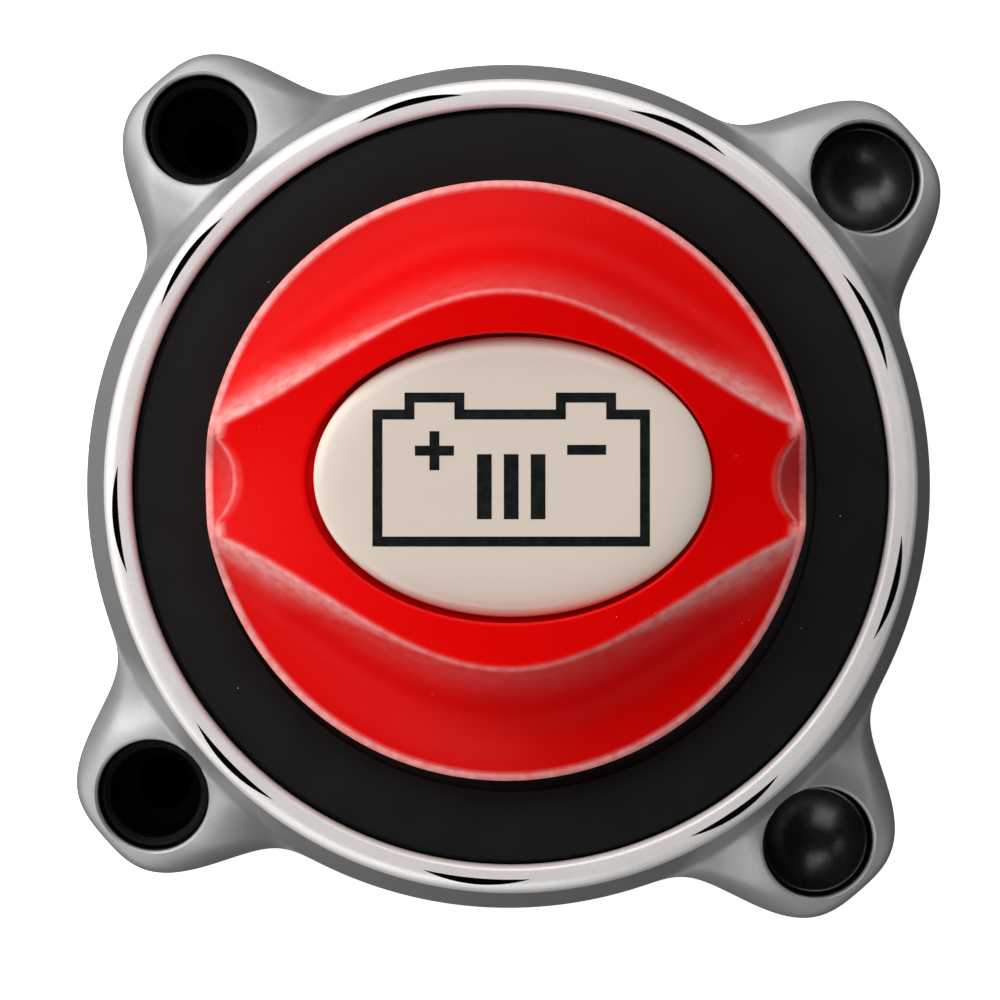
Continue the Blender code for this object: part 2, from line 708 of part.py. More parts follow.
def build_bridge(axis, materials):
    half_x, half_y = BRIDGE_HALF
    outline = []
    steps = 6
    for quarter, (sx, sy) in enumerate(((1, 1), (-1, 1), (-1, -1), (1, -1))):
        for i in range(steps + 1):
            x, y, _ = polar(BRIDGE_CORNER, math.pi / 2 * (quarter + i / steps), 0)
            outline.append((sx * (half_x - BRIDGE_CORNER) + x, sy * (half_y - BRIDGE_CORNER) + y))
    low, high = BRIDGE_LEVEL
    bm = bmesh.new()
    add_prism(bm, outline, low, high)
    bridge = place(add_object("contact_bridge", bm, materials["copper"], axis), z=-CHAMBER_TOP)
    hole = bmesh.new()
    add_cylinder(hole, BRIDGE_HOLE, low - 1, high + 1, segments=24)
    carve(bridge, "bridge_hole_cutter", hole)
    for letter, side in (("a", 1), ("b", -1)):
        face, back = MOVING_PAD
        pad = build_contact("moving_contact_" + letter, back, face, materials["silver_contact"], axis)
        place(pad, y=side * STUD_AT, z=-CHAMBER_TOP)
        spring = build_coil("contact_spring_" + letter, high + GAP, SPRING_TOP, materials["stainless"], axis)
        place(spring, y=side * SPRING_AT, z=-CHAMBER_TOP)


def build_coil(name, low, high, material, parent):
    """Round-wire compression spring, wound about its own Z axis."""
    wire, mean, turns, per_turn, around = 0.45, 2.5, 4, 12, 5
    height = high - low - 2 * wire
    sections = []
    for i in range(turns * per_turn + 1):
        t = i / (turns * per_turn)
        section = []
        for k in range(around):
            b = 2 * math.pi * k / around
            level = low + wire + height * t + wire * math.sin(b)
            section.append(polar(mean + wire * math.cos(b), 2 * math.pi * turns * t, level))
        sections.append(section)
    bm = bmesh.new()
    add_bar(bm, sections)
    return add_object(name, bm, material, parent, smooth_angle=60)


def leaf_line(y):
    """Inner face of a detent spring, with the bump that rests in the cam's notch."""
    return LEAF_AT - LEAF_BUMP * math.exp(-((y / 2.6) ** 2))


def build_detent_springs(material, steps=24):
    ys = [-LEAF_HALF + 2 * LEAF_HALF * i / steps for i in range(steps + 1)]
    outline = [(leaf_line(y), y) for y in reversed(ys)]
    outline += [(leaf_line(y) + LEAF_THICKNESS, y) for y in ys]
    bm = bmesh.new()
    add_prism(bm, outline, *LEAF_LEVEL)
    first = add_object("detent_spring_a", bm, material, smooth_angle=50)
    copy_piece(first, "detent_spring_b", turn=math.pi)


def build_thrust_washer(material):
    bm = bmesh.new()
    add_tube(bm, HUB_BORE, THRUST_WASHER_RADIUS, *THRUST_WASHER)
    add_object("thrust_washer", bm, material)


def build_shaft_seal(material, around=6):
    """O-ring in the groove between the hub and the housing."""
    section = (SEAL_RADIUS - HUB_RADIUS - 2 * GAP) / 2
    middle = (SEAL_RADIUS + HUB_RADIUS) / 2
    level = SEAL_FLOOR + GAP + section
    profile = []
    for k in range(around):
        a = 2 * math.pi * k / around
        profile.append((middle + section * math.cos(a), level + section * math.sin(a)))
    bm = bmesh.new()
    add_turned(bm, profile, 24)
    add_object("shaft_seal", bm, material)


# ---- knob ---------------------------------------------------------------------------------


def crest_y(x):
    return CREST_HALF * math.exp(-((x / CREST_LENGTH) ** 2))


def grip_height(x, y):
    crest = KNOB_CREST - CREST_FALL * (x / KNOB_RADIUS) ** 2
    return crest - GRIP_DISH * (1 - min(abs(y) / crest_y(x), 1.0) ** 2)


def scoop_height(x, y):
    rim = KNOB_FLOOR + SCOOP_RISE * (math.hypot(x, y) / KNOB_RADIUS) ** 5
    crest = KNOB_CREST - CREST_FALL * (x / KNOB_RADIUS) ** 2
    beyond = max(abs(y) - crest_y(x), 0.0)
    return rim + (crest - rim) * math.exp(-((beyond / SCOOP_WIDTH) ** 1.4))


def knob_height(x, y):
    """Top surface of the knob: dished grip, two finger scoops and the end notches."""
    height = grip_height(x, y) if abs(y) < crest_y(x) else scoop_height(x, y)
    distance = math.hypot(abs(x) - NOTCH_AT, y)
    if distance < NOTCH_RADIUS:
        shallow = NOTCH_AT - KNOB_RADIUS
        share = max(distance - shallow, 0.0) / (NOTCH_RADIUS - shallow)
        floor = KNOB_FLOOR + SCOOP_RISE
        height = floor + (height - floor) * share**1.6
    return height


def crest_radius(angle):
    """Distance along a ray to the crest of the grip or, at its ends, to the edge of the notch."""
    c, s = abs(math.cos(angle)), abs(math.sin(angle))
    low, high = 5.0, KNOB_RADIUS
    for _ in range(40):
        middle = (low + high) / 2
        if middle * s < crest_y(middle * c):
            low = middle
        else:
            high = middle
    radius = low
    across = NOTCH_RADIUS**2 - (NOTCH_AT * s) ** 2
    if across > 0:
        radius = min(radius, NOTCH_AT * c - math.sqrt(across))
    return min(radius, KNOB_RADIUS - RIM_ROUND - 0.35)


def seat_radius(angle):
    """Distance from the knob's centre to the edge of the label's seat."""
    (a, b), (cx, cy) = LABEL_SEAT, LABEL_SEAT_AT
    c, s = math.cos(angle), math.sin(angle)
    p = (c / a) ** 2 + (s / b) ** 2
    q = c * cx / a**2 + s * cy / b**2
    k = (cx / a) ** 2 + (cy / b) ** 2 - 1
    return (q + math.sqrt(q * q - p * k)) / p


def knob_section(angle):
    """Points of the knob from the label's seat over the rim, under the shell and down the stem."""

    def top(radius):
        return knob_height(radius * math.cos(angle), radius * math.sin(angle))

    seat, crest, rim = seat_radius(angle), crest_radius(angle), KNOB_RADIUS - RIM_ROUND
    section = [(seat, LABEL_FLOOR), (seat, top(seat))]
    section += [(seat + (crest - seat) * t, top(seat + (crest - seat) * t)) for t in (0.5, 1.0)]
    for t in (0.08, 0.2, 0.36, 0.58, 0.8, 1.0):
        radius = crest + (rim - crest) * t
        section.append((radius, top(radius)))
    edge = top(rim)
    section += [(KNOB_RADIUS - 0.26, edge - 0.27), (KNOB_RADIUS, edge - RIM_ROUND)]
    section += [(KNOB_RADIUS - 0.4, KNOB_SKIRT + 0.4), (KNOB_RADIUS - 0.8, KNOB_SKIRT)]
    inner = KNOB_RADIUS - 2.4
    section.append((inner, KNOB_SKIRT))
    for t in (1.0, 0.5, 0.15):
        radius = min(crest + 1.0 + (rim - crest) * t, inner - 0.05 * (1 - t))
        section.append((radius, max(top(radius) - KNOB_WALL, KNOB_SKIRT + 0.6)))
    roof = LABEL_FLOOR - KNOB_WALL + 0.4
    section += [(min(seat, crest - 1.5), min(roof, top(crest) - KNOB_WALL)), (STEM_ROOT_RADIUS + 0.2, roof)]
    section += [(STEM_ROOT_RADIUS - 0.2, STEM_ROOT), (STEM_RADIUS, STEM_ROOT - 0.5)]
    section += [(STEM_RADIUS, STEM_FOOT + 0.6), (STEM_RADIUS - 0.6, STEM_FOOT)]
    return section


def knob_angles():
    """Angles that close up around the two notches."""
    half = [0, 3, 6, 8.5, 10.8, 13, 17, 22, 28, 35, 43, 52, 62, 75]
    right = sorted({-o for o in half} | set(half))
    both = right + [90] + [180 + o for o in right] + [270]
    return [math.radians(o) for o in both]


def build_knob(axis, material):
    angles = knob_angles()
    rings = rings_of([knob_section(a) for a in angles], angles)
    bm = bmesh.new()
    add_rings(bm, [[(0, 0, LABEL_FLOOR)], *rings, [(0, 0, STEM_FOOT)]], closed=False)
    knob = add_object("knob", bm, material, axis, smooth_angle=40)
    place(knob, *KNOB_REST_SHIFT, -CHAMBER_TOP, KNOB_REST_TURN)
    key = bmesh.new()
    x, y = KEY_HALF
    add_box(key, (-x, -y, STEM_FOOT + 1), (x, y, STEM_ROOT + 0.5))
    carve(knob, "drive_key", key, "UNION")
    return knob


def build_knob_label(axis, material, steps=40):
    """Domed oval label, lying loose-edged in its seat."""
    low = LABEL_FLOOR + GAP
    dome = [(1.0, 0.0), (1.0, 1.0), (0.985, 1.45), (0.95, 1.75), (0.8, 2.1), (0.45, 2.3)]
    rings = [[(0, 0, low)]]
    for scale, rise in dome:
        ring = []
        for i in range(steps):
            a = 2 * math.pi * i / steps
            x, y = scale * LABEL_HALF[0] * math.cos(a), scale * LABEL_HALF[1] * math.sin(a)
            ring.append((x, y, low + rise))
        rings.append(ring)
    rings.append([(0, 0, low + LABEL_THICKNESS)])
    bm = bmesh.new()
    add_rings(bm, rings, closed=False)
    label = add_object("knob_label", bm, material, axis)
    c, s = math.cos(KNOB_REST_TURN), math.sin(KNOB_REST_TURN)
    x, y = LABEL_AT
    shift_x, shift_y = KNOB_REST_SHIFT
    place(label, shift_x + x * c - y * s, shift_y + x * s + y * c, -CHAMBER_TOP, KNOB_REST_TURN)


# ---- assembly -----------------------------------------------------------------------------


def main():
    for obj in list(bpy.data.objects):
        bpy.data.objects.remove(obj)
    materials = make_materials()
    build_bezel(materials["silver_paint"])
    build_label_ring(materials["black_label"])
    build_housing(materials["black_plastic"])
    build_rear_cover(materials["black_plastic"])
    build_cover_screws(materials["stainless"])
    build_contact_base(materials["black_plastic"])
    build_base_seal(materials["rubber"])
    build_base_screws(materials["stainless"])
    build_terminal("a", 1, materials)
    build_terminal("b", -1, materials)
    build_detent_springs(materials["stainless"])
    build_thrust_washer(materials["white_acetal"])
    build_shaft_seal(materials["rubber"])

    rotor_axis = add_axis("rotor_axis", CHAMBER_TOP)
    build_rotor(rotor_axis, materials["white_acetal"])
    build_bridge(rotor_axis, materials)
    knob_axis = add_axis("knob_axis", 0.0, rotor_axis)
    build_knob(knob_axis, materials["red_plastic"])
    build_knob_label(knob_axis, materials["cream_label"])


main()
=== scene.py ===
"""Looks of the battery isolator switch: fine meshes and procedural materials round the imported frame.

Levels and places are read from the frame; shapes are worked out in millimetres and turned into
metres when a mesh is made.
"""

import json
import math

import bmesh
import bpy
import numpy as np
from mathutils import Matrix, Vector


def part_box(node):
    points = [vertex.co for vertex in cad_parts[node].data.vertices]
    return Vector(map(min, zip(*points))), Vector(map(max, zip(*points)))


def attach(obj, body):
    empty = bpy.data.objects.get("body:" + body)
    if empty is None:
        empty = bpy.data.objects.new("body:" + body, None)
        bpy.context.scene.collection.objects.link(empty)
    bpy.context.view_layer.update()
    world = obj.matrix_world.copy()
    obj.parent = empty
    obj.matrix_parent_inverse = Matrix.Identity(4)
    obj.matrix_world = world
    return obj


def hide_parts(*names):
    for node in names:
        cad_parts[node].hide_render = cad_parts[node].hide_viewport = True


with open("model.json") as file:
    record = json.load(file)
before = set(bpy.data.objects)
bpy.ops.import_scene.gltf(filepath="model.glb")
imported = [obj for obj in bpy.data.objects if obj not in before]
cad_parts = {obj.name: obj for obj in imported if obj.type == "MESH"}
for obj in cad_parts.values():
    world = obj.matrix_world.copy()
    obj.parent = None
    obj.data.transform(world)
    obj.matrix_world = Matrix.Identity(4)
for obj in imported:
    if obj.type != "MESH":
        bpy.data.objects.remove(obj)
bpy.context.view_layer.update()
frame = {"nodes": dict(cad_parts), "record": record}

MM = 0.001


def span(node):
    """Lowest and highest corner of a CAD node in millimetres."""
    low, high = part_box(node)
    return np.array(low) / MM, np.array(high) / MM


# ---- mesh helpers -------------------------------------------------------------------------


def new_object(name, points, faces, materials, smooth_angle=35, face_materials=None):
    """Object from points in millimetres, shaded smooth with sharp edges above an angle."""
    mesh = bpy.data.meshes.new(name)
    mesh.from_pydata([tuple(p) for p in np.asarray(points, float) * MM], [], faces)
    for material in materials:
        mesh.materials.append(material)
    if face_materials is not None:
        mesh.polygons.foreach_set("material_index", face_materials)
    bm = bmesh.new()
    bm.from_mesh(mesh)
    bmesh.ops.recalc_face_normals(bm, faces=bm.faces)
    bm.to_mesh(mesh)
    bm.free()
    mesh.shade_smooth()
    mesh.set_sharp_from_angle(angle=math.radians(smooth_angle))
    obj = bpy.data.objects.new(name, mesh)
    bpy.context.scene.collection.objects.link(obj)
    return obj


def loft(rings, closed=False):
    """Points and faces of a skin over rings. A ring is an (n, 3) array, or one point for a pole."""
    points, starts, faces = [], [], []
    for ring in rings:
        starts.append(len(points))
        points.extend(np.asarray(ring, float).reshape(-1, 3))
    sizes = [len(np.asarray(ring, float).reshape(-1, 3)) for ring in rings]
    pairs = [(k, k + 1) for k in range(len(rings) - 1)]
    if closed:
        pairs.append((len(rings) - 1, 0))
    for one, two in pairs:
        count = max(sizes[one], sizes[two])
        for i in range(count):
            j = (i + 1) % count
            corners = [starts[one] + i % sizes[one], starts[one] + j % sizes[one]]
            corners += [starts[two] + j % sizes[two], starts[two] + i % sizes[two]]
            faces.append(tuple(dict.fromkeys(corners)))
    return np.array(points), faces


def turned_rings(profile, around, centre=(0.0, 0.0)):
    angles = np.linspace(0, 2 * np.pi, around, endpoint=False)
    rings = []
    for radius, height in profile:
        a = angles if radius > 0 else angles[:1]
        ring = [centre[0] + radius * np.cos(a), centre[1] + radius * np.sin(a), np.full(len(a), height)]
        rings.append(np.stack(ring, axis=1))
    return rings


def turned(name, profile, materials, around=96, centre=(0.0, 0.0), smooth_angle=35):
    points, faces = loft(turned_rings(profile, around, centre), closed=profile[0][0] > 0)
    return new_object(name, points, faces, materials, smooth_angle)


def rounded(profile, radius, steps=4, closed=True):
    """Rounds the corners of a (radius, height) profile; an open profile keeps its two end corners sharp."""
    points = [np.array(p, float) for p in profile]
    out = []
    for k, corner in enumerate(points):
        if not closed and k in (0, len(points) - 1):
            out.append(tuple(corner))
            continue
        before, after = points[k - 1], points[(k + 1) % len(points)]
        to_before, to_after = before - corner, after - corner
        short = min(np.linalg.norm(to_before), np.linalg.norm(to_after))
        r = min(radius, 0.45 * short)
        a = corner + to_before / np.linalg.norm(to_before) * r
        b = corner + to_after / np.linalg.norm(to_after) * r
        for t in np.linspace(0, 1, steps + 1):
            out.append(tuple((1 - t) ** 2 * a + 2 * t * (1 - t) * corner + t**2 * b))
    return out


def prism(name, outline, low, high, materials, smooth_angle=30):
    count = len(outline)
    points = [(x, y, z) for z in (low, high) for x, y in outline]
    faces = [tuple(range(count)), tuple(range(count, 2 * count))]
    for i in range(count):
        j = (i + 1) % count
        faces.append((i, j, count + j, count + i))
    return new_object(name, points, faces, materials, smooth_angle)


def block(name, low, high, materials):
    outline = [(low[0], low[1]), (high[0], low[1]), (high[0], high[1]), (low[0], high[1])]
    return prism(name, outline, low[2], high[2], materials)


def combine(target, helper, operation="DIFFERENCE"):
    """Applies a Boolean with a helper, which is then removed. Cut faces keep the helper's material."""
    modifier = target.modifiers.new("combine", "BOOLEAN")
    modifier.object = helper
    modifier.operation = operation
    modifier.solver = "EXACT"
    modifier.material_mode = "TRANSFER"
    apply_modifiers(target)
    bpy.data.objects.remove(helper)
    return target


def apply_modifiers(obj):
    graph = bpy.context.evaluated_depsgraph_get()
    mesh = bpy.data.meshes.new_from_object(obj.evaluated_get(graph))
    obj.modifiers.clear()
    obj.data = mesh
    return obj


def crease(obj, smooth_angle=30):
    obj.data.shade_smooth()
    obj.data.set_sharp_from_angle(angle=math.radians(smooth_angle))
    return obj


def soften(obj, width, angle=40, segments=2):
    """Small rounding on a piece's sharp edges."""
    modifier = obj.modifiers.new("soften", "BEVEL")
    modifier.width = width * MM
    modifier.segments = segments
    modifier.limit_method = "ANGLE"
    modifier.angle_limit = math.radians(angle)
    modifier.harden_normals = False
    apply_modifiers(obj)
    return obj


def finish_piece(obj, body, slot, *nodes):
    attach(obj, body)
    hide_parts(*nodes)
    return obj


# ---- material helpers ---------------------------------------------------------------------


class Surface:
    """A Principled material with object-space textures that shape colour, roughness and bump."""

    def __init__(self, name, colour, roughness, metallic=0.0, **sockets):
        self.material = bpy.data.materials.new(name)
        self.material.use_nodes = True
        self.tree = self.material.node_tree
        self.shader = self.tree.nodes["Principled BSDF"]
        self.shader.inputs["Base Color"].default_value = (*colour, 1)
        self.shader.inputs["Roughness"].default_value = roughness
        self.shader.inputs["Metallic"].default_value = metallic
        for socket, value in sockets.items():
            self.shader.inputs[socket.replace("_", " ")].default_value = value
        self.colour = (*colour, 1)
        self.roughness = roughness
        self.place = self.tree.nodes.new("ShaderNodeTexCoord").outputs["Object"]

    def link(self, output, node, socket):
        self.tree.links.new(output, node.inputs[socket])

    def noise(self, size_mm, detail=3.0, stretch=(1, 1, 1)):
        """Noise whose blobs are about size_mm wide, 0 to 1."""
        mapping = self.tree.nodes.new("ShaderNodeMapping")
        mapping.inputs["Scale"].default_value = stretch
        self.link(self.place, mapping, "Vector")
        node = self.tree.nodes.new("ShaderNodeTexNoise")
        node.inputs["Scale"].default_value = 1 / (size_mm * MM)
        node.inputs["Detail"].default_value = detail
        self.link(mapping.outputs["Vector"], node, "Vector")
        return node.outputs["Fac"]

    def cells(self, size_mm, randomness=1.0, output="Distance"):
        node = self.tree.nodes.new("ShaderNodeTexVoronoi")
        node.inputs["Scale"].default_value = 1 / (size_mm * MM)
        node.inputs["Randomness"].default_value = randomness
        self.link(self.place, node, "Vector")
        return node.outputs[output]

    def ramp(self, value, low, high, to_low=0.0, to_high=1.0):
        """Maps low..high of a value to to_low..to_high, clamped."""
        node = self.tree.nodes.new("ShaderNodeMapRange")
        node.inputs["From Min"].default_value = low
        node.inputs["From Max"].default_value = high
        node.inputs["To Min"].default_value = to_low
        node.inputs["To Max"].default_value = to_high
        self.link(value, node, "Value")
        return node.outputs["Result"]

    def math(self, operation, a, b):
        node = self.tree.nodes.new("ShaderNodeMath")
        node.operation = operation
        for socket, value in enumerate((a, b)):
            if isinstance(value, (int, float)):
                node.inputs[socket].default_value = value
            else:
                self.link(value, node, socket)
        return node.outputs[0]

    def tint(self, share, colour):
        """Mixes the base colour so far towards another by a 0 to 1 share."""
        mix = self.tree.nodes.new("ShaderNodeMix")
        mix.data_type = "RGBA"
        source = self.shader.inputs["Base Color"]
        if source.is_linked:
            self.tree.links.new(source.links[0].from_socket, mix.inputs["A"])
        else:
            mix.inputs["A"].default_value = self.colour
        mix.inputs["B"].default_value = (*colour, 1)
        self.link(share, mix, "Factor")
        self.link(mix.outputs["Result"], self.shader, "Base Color")
        return self

    def vary_roughness(self, value, low, high):
        self.link(self.ramp(value, 0.3, 0.7, low, high), self.shader, "Roughness")
        return self

    def bump(self, value, height_mm, strength=1.0):
        node = self.tree.nodes.new("ShaderNodeBump")
        node.inputs["Distance"].default_value = height_mm * MM
        node.inputs["Strength"].default_value = strength
        self.link(value, node, "Height")
        normal = self.shader.inputs["Normal"]
        if normal.is_linked:
            self.tree.links.new(normal.links[0].from_socket, node.inputs["Normal"])
        self.link(node.outputs["Normal"], self.shader, "Normal")
        return self


def dust(surface, size_mm, amount, colour=(0.75, 0.72, 0.68)):
    """Sparse pale specks."""
    spots = surface.ramp(surface.cells(size_mm), 0.02, 0.05, 1.0, 0.0)
    where = surface.ramp(surface.noise(size_mm * 4, 2.0), 0.62 - amount, 0.66 - amount)
    surface.tint(surface.math("MULTIPLY", spots, where), colour)
    return surface


def silver_paint(name, colour, metallic, rough):
    """Metallic paint: flakes a few tenths wide, faint clouding, slight orange peel."""
    s = Surface(name, colour, rough, metallic)
    s.tint(s.ramp(s.noise(0.18, 2.0), 0.35, 0.65, 0.0, 0.6), tuple(0.80 * c for c in colour))
    s.tint(s.ramp(s.noise(9.0, 3.0), 0.42, 0.72, 0.0, 0.25), tuple(0.88 * c for c in colour))
    s.vary_roughness(s.noise(3.0, 4.0), rough - 0.04, rough + 0.04)
    s.bump(s.noise(0.14, 2.0), 0.005)
    return s.material


def black_label():
    s = Surface("black_label", (0.0055, 0.0048, 0.0047), 0.5, Specular_IOR_Level=0.2)
    s.tint(s.ramp(s.noise(14.0, 3.0), 0.35, 0.7), (0.0045, 0.0046, 0.005))
    s.vary_roughness(s.noise(5.0, 4.0), 0.46, 0.58)
    s.bump(s.noise(0.25, 3.0), 0.004)
    dust(s, 1.6, 0.0)
    return s.material


def red_plastic():
    """Fine-grained moulding, scuffed pale on its rim, with painted highlights on the rim and along its crests."""
    s = Surface("red_plastic", (0.71, 0.0003, 0.0002), 0.36, Specular_IOR_Level=0.07)
    s.tint(s.ramp(s.noise(6.0, 3.0), 0.35, 0.7, 0.0, 0.5), (0.70, 0.0008, 0.0006))
    s.vary_roughness(s.noise(2.5, 4.0), 0.30, 0.37)
    # Pale pink tint from a point attribute: real scuffing on the rim, painted highlights on the rim and crests, and
    # a painted sheen beside the crests.
    scuff_and_highlight = s.tree.nodes.new("ShaderNodeAttribute")
    scuff_and_highlight.attribute_name = "scuff_and_highlight"
    patchy = s.ramp(s.noise(1.3, 4.0), 0.3, 0.6, 0.55, 1.0)
    s.tint(s.math("MULTIPLY", scuff_and_highlight.outputs["Fac"], patchy), (0.93, 0.50, 0.48))
    s.bump(s.noise(0.26, 2.0), 0.022)
    s.bump(s.noise(0.9, 2.0), 0.006)
    dust(s, 1.1, 0.02, (0.95, 0.80, 0.78))
    return s.material


def cream_label():
    s = Surface("cream_label", (0.71, 0.615, 0.525), 0.45, Coat_Weight=0.5, Coat_Roughness=0.06)
    s.tint(s.ramp(s.noise(8.0, 2.0), 0.35, 0.7, 0.0, 0.35), (0.69, 0.60, 0.52))
    s.bump(s.noise(0.5, 2.0), 0.002)
    return s.material


def label_ink():
    s = Surface("label_ink", (0.003, 0.005, 0.005), 0.35, Specular_IOR_Level=0.2, Coat_Weight=0.25)
    s.tint(s.ramp(s.noise(1.0, 3.0), 0.4, 0.7, 0.0, 0.6), (0.016, 0.018, 0.018))
    s.vary_roughness(s.noise(0.8, 2.0), 0.3, 0.4)
    return s.material


def moulded_black(name, colour, rough, grain_mm, grain_height):
    s = Surface(name, colour, rough)
    s.tint(s.ramp(s.noise(5.0, 2.0), 0.3, 0.7), tuple(c * 1.2 for c in colour))
    s.vary_roughness(s.noise(0.9, 3.0), rough - 0.03, rough + 0.04)
    s.bump(s.noise(grain_mm, 3.0), grain_height)
    dust(s, 2.4, -0.02, (0.3, 0.29, 0.27))
    return s.material


def metal(name, colour, rough, stain, brushed=(1, 1, 1)):
    """Machined or plated metal with tool marks along one direction and darker staining."""
    s = Surface(name, colour, rough, 1.0)
    s.tint(s.ramp(s.noise(3.5, 4.0), 0.45, 0.75, 0.0, 0.7), stain)
    marks = s.noise(0.35, 3.0, brushed)
    s.vary_roughness(marks, rough - 0.08, rough + 0.12)
    s.bump(marks, 0.004)
    return s.material


def acetal():
    s = Surface("white_acetal", (0.78, 0.77, 0.73), 0.36, Subsurface_Weight=0.0)
    s.tint(s.ramp(s.noise(6.0, 3.0), 0.35, 0.7, 0.0, 0.5), (0.70, 0.68, 0.62))
    s.vary_roughness(s.noise(2.0, 3.0), 0.32, 0.44)
    s.bump(s.noise(0.4, 2.0), 0.004)
    return s.material


def rubber():
    s = Surface("rubber", (0.018, 0.018, 0.019), 0.7)
    s.tint(s.ramp(s.noise(1.6, 3.0), 0.4, 0.7), (0.035, 0.034, 0.032))
    s.vary_roughness(s.noise(0.8, 3.0), 0.6, 0.8)
    s.bump(s.noise(0.15, 2.0), 0.008)
    return s.material


def backdrop():
    s = Surface("backdrop", (0.92, 0.92, 0.92), 0.7, Emission_Color=(1, 1, 1, 1), Emission_Strength=0.85)
    s.tint(s.ramp(s.noise(60.0, 2.0), 0.3, 0.7), (0.90, 0.90, 0.905))
    return s.material


RINGWISE = (1, 1, 12)
LENGTHWISE = (12, 12, 1)
M = {
    "silver_paint": silver_paint("silver_paint", (0.42, 0.425, 0.425), 0.45, 0.42),
    # Band paint: the same paint as the bezel set much lighter, painted light on the band that faces the lamps.
    "silver_band": silver_paint("silver_band", (0.90, 0.88, 0.87), 0.25, 0.38),
    "black_label": black_label(),
    "red_plastic": red_plastic(),
    "cream_label": cream_label(),
    "label_ink": label_ink(),
    "black_plastic": moulded_black("black_plastic", (0.011, 0.012, 0.013), 0.28, 0.3, 0.004),
    "black_cover": moulded_black("black_cover", (0.014, 0.014, 0.015), 0.5, 0.35, 0.02),
    "base_plastic": moulded_black("base_plastic", (0.022, 0.020, 0.018), 0.55, 0.5, 0.012),
    "white_acetal": acetal(),
    "copper": metal("copper", (0.80, 0.38, 0.24), 0.28, (0.45, 0.20, 0.12), LENGTHWISE),
    "tinned_copper": metal("tinned_copper", (0.74, 0.73, 0.70), 0.26, (0.55, 0.52, 0.46), RINGWISE),
    "silver_contact": metal("silver_contact", (0.88, 0.87, 0.84), 0.18, (0.6, 0.56, 0.5), RINGWISE),
    "stainless": metal("stainless", (0.62, 0.62, 0.61), 0.26, (0.45, 0.44, 0.42), RINGWISE),
    "spring_steel": metal("spring_steel", (0.55, 0.55, 0.55), 0.22, (0.34, 0.33, 0.32), RINGWISE),
    "brass": metal("brass", (0.76, 0.56, 0.26), 0.26, (0.45, 0.31, 0.13), RINGWISE),
    "rubber": rubber(),
}


# ---- bezel --------------------------------------------------------------------------------

bezel_low, bezel_high = span("bezel")
SKIRT_EDGE, BEZEL_CREST = bezel_low[2], bezel_high[2]
SCREW_SPACING = 80.0
SCREW_REACH = SCREW_SPACING / math.sqrt(2)
BODY_RADIUS = bezel_high[0]
EAR_REACH = 64.7
EAR_SPREAD = math.radians(12.35)
EAR_POWER = 3.4
EAR_AXES = [math.radians(45 + 90 * k) for k in range(4)]
BEZEL_BORE = 44.8
BAND_OUTER = 48.15
BAND_DROP = 1.6
BEZEL_WALL = 2.0
FLANK_FOOT = BEZEL_CREST - 17.6
PAD_HEIGHT = BEZEL_CREST - 8.5
PAD_SLOPE = 0.42
WELL_RADIUS = 6.76
WELL_LIP = 0.45
WINDOW_COUNT = 9
WINDOW_FIRST = math.radians(29)
WINDOW_ARC = 17.9
WINDOW_ARC_AT = 29.3
WINDOW_INNER = 46.45
WINDOW_DEPTH = 5.0
BARREL_RADIUS = 46.0


def off_ear(angle):
    quarter = np.pi / 2
    return np.abs((angle - EAR_AXES[0] + quarter / 2) % quarter - quarter / 2)


def outline_radius(angle):
    lobe = np.exp(-((off_ear(angle) / EAR_SPREAD) ** EAR_POWER))
    return BODY_RADIUS + (EAR_REACH - BODY_RADIUS) * lobe


def smooth_max(a, b, blend):
    h = np.maximum(blend - np.abs(a - b), 0.0) / blend
    return np.maximum(a, b) + h * h * blend / 4


def bezel_height(radius, angle):
    """Outer surface outside the bright band: steep flank melting into the ears."""
    reach = outline_radius(angle)
    along = (radius - BAND_OUTER) / (BODY_RADIUS - BAND_OUTER)
    flank_top = BEZEL_CREST - BAND_DROP
    flank = flank_top - (flank_top - FLANK_FOOT) * along
    pad = PAD_HEIGHT - PAD_SLOPE * (radius - BODY_RADIUS)
    rounding = 0.42 * (reach - BAND_OUTER)
    inward = np.minimum((reach - radius) / rounding, 1.0)
    edge = np.sqrt(np.maximum(1.0 - (1.0 - inward) ** 2, 0.0))
    width = np.exp(-((off_ear(angle) / (1.15 * EAR_SPREAD)) ** 4))
    ear = FLANK_FOOT + (pad - FLANK_FOOT) * edge * width
    return smooth_max(np.maximum(flank, FLANK_FOOT), ear, 5.0 * width + 0.01)


def band_profile(steps=8):
    """Bright rounded band, from the bore over its crest to the top of the flank; its brightness is painted light, a
    lighter copy of the bezel's paint.
    """
    inner, outer = 0.75, 1.55
    points = [(BEZEL_BORE, BEZEL_CREST - 2.7)]
    for t in np.linspace(0, np.pi / 2, steps):
        points.append((BEZEL_BORE + inner * (1 - np.cos(t)), BEZEL_CREST - inner * (1 - np.sin(t))))
    for t in np.linspace(0, np.pi / 2, 2 * steps):
        radius = BAND_OUTER - outer + outer * np.sin(t)
        points.append((radius, BEZEL_CREST - outer * (1 - np.cos(t))))
    return points


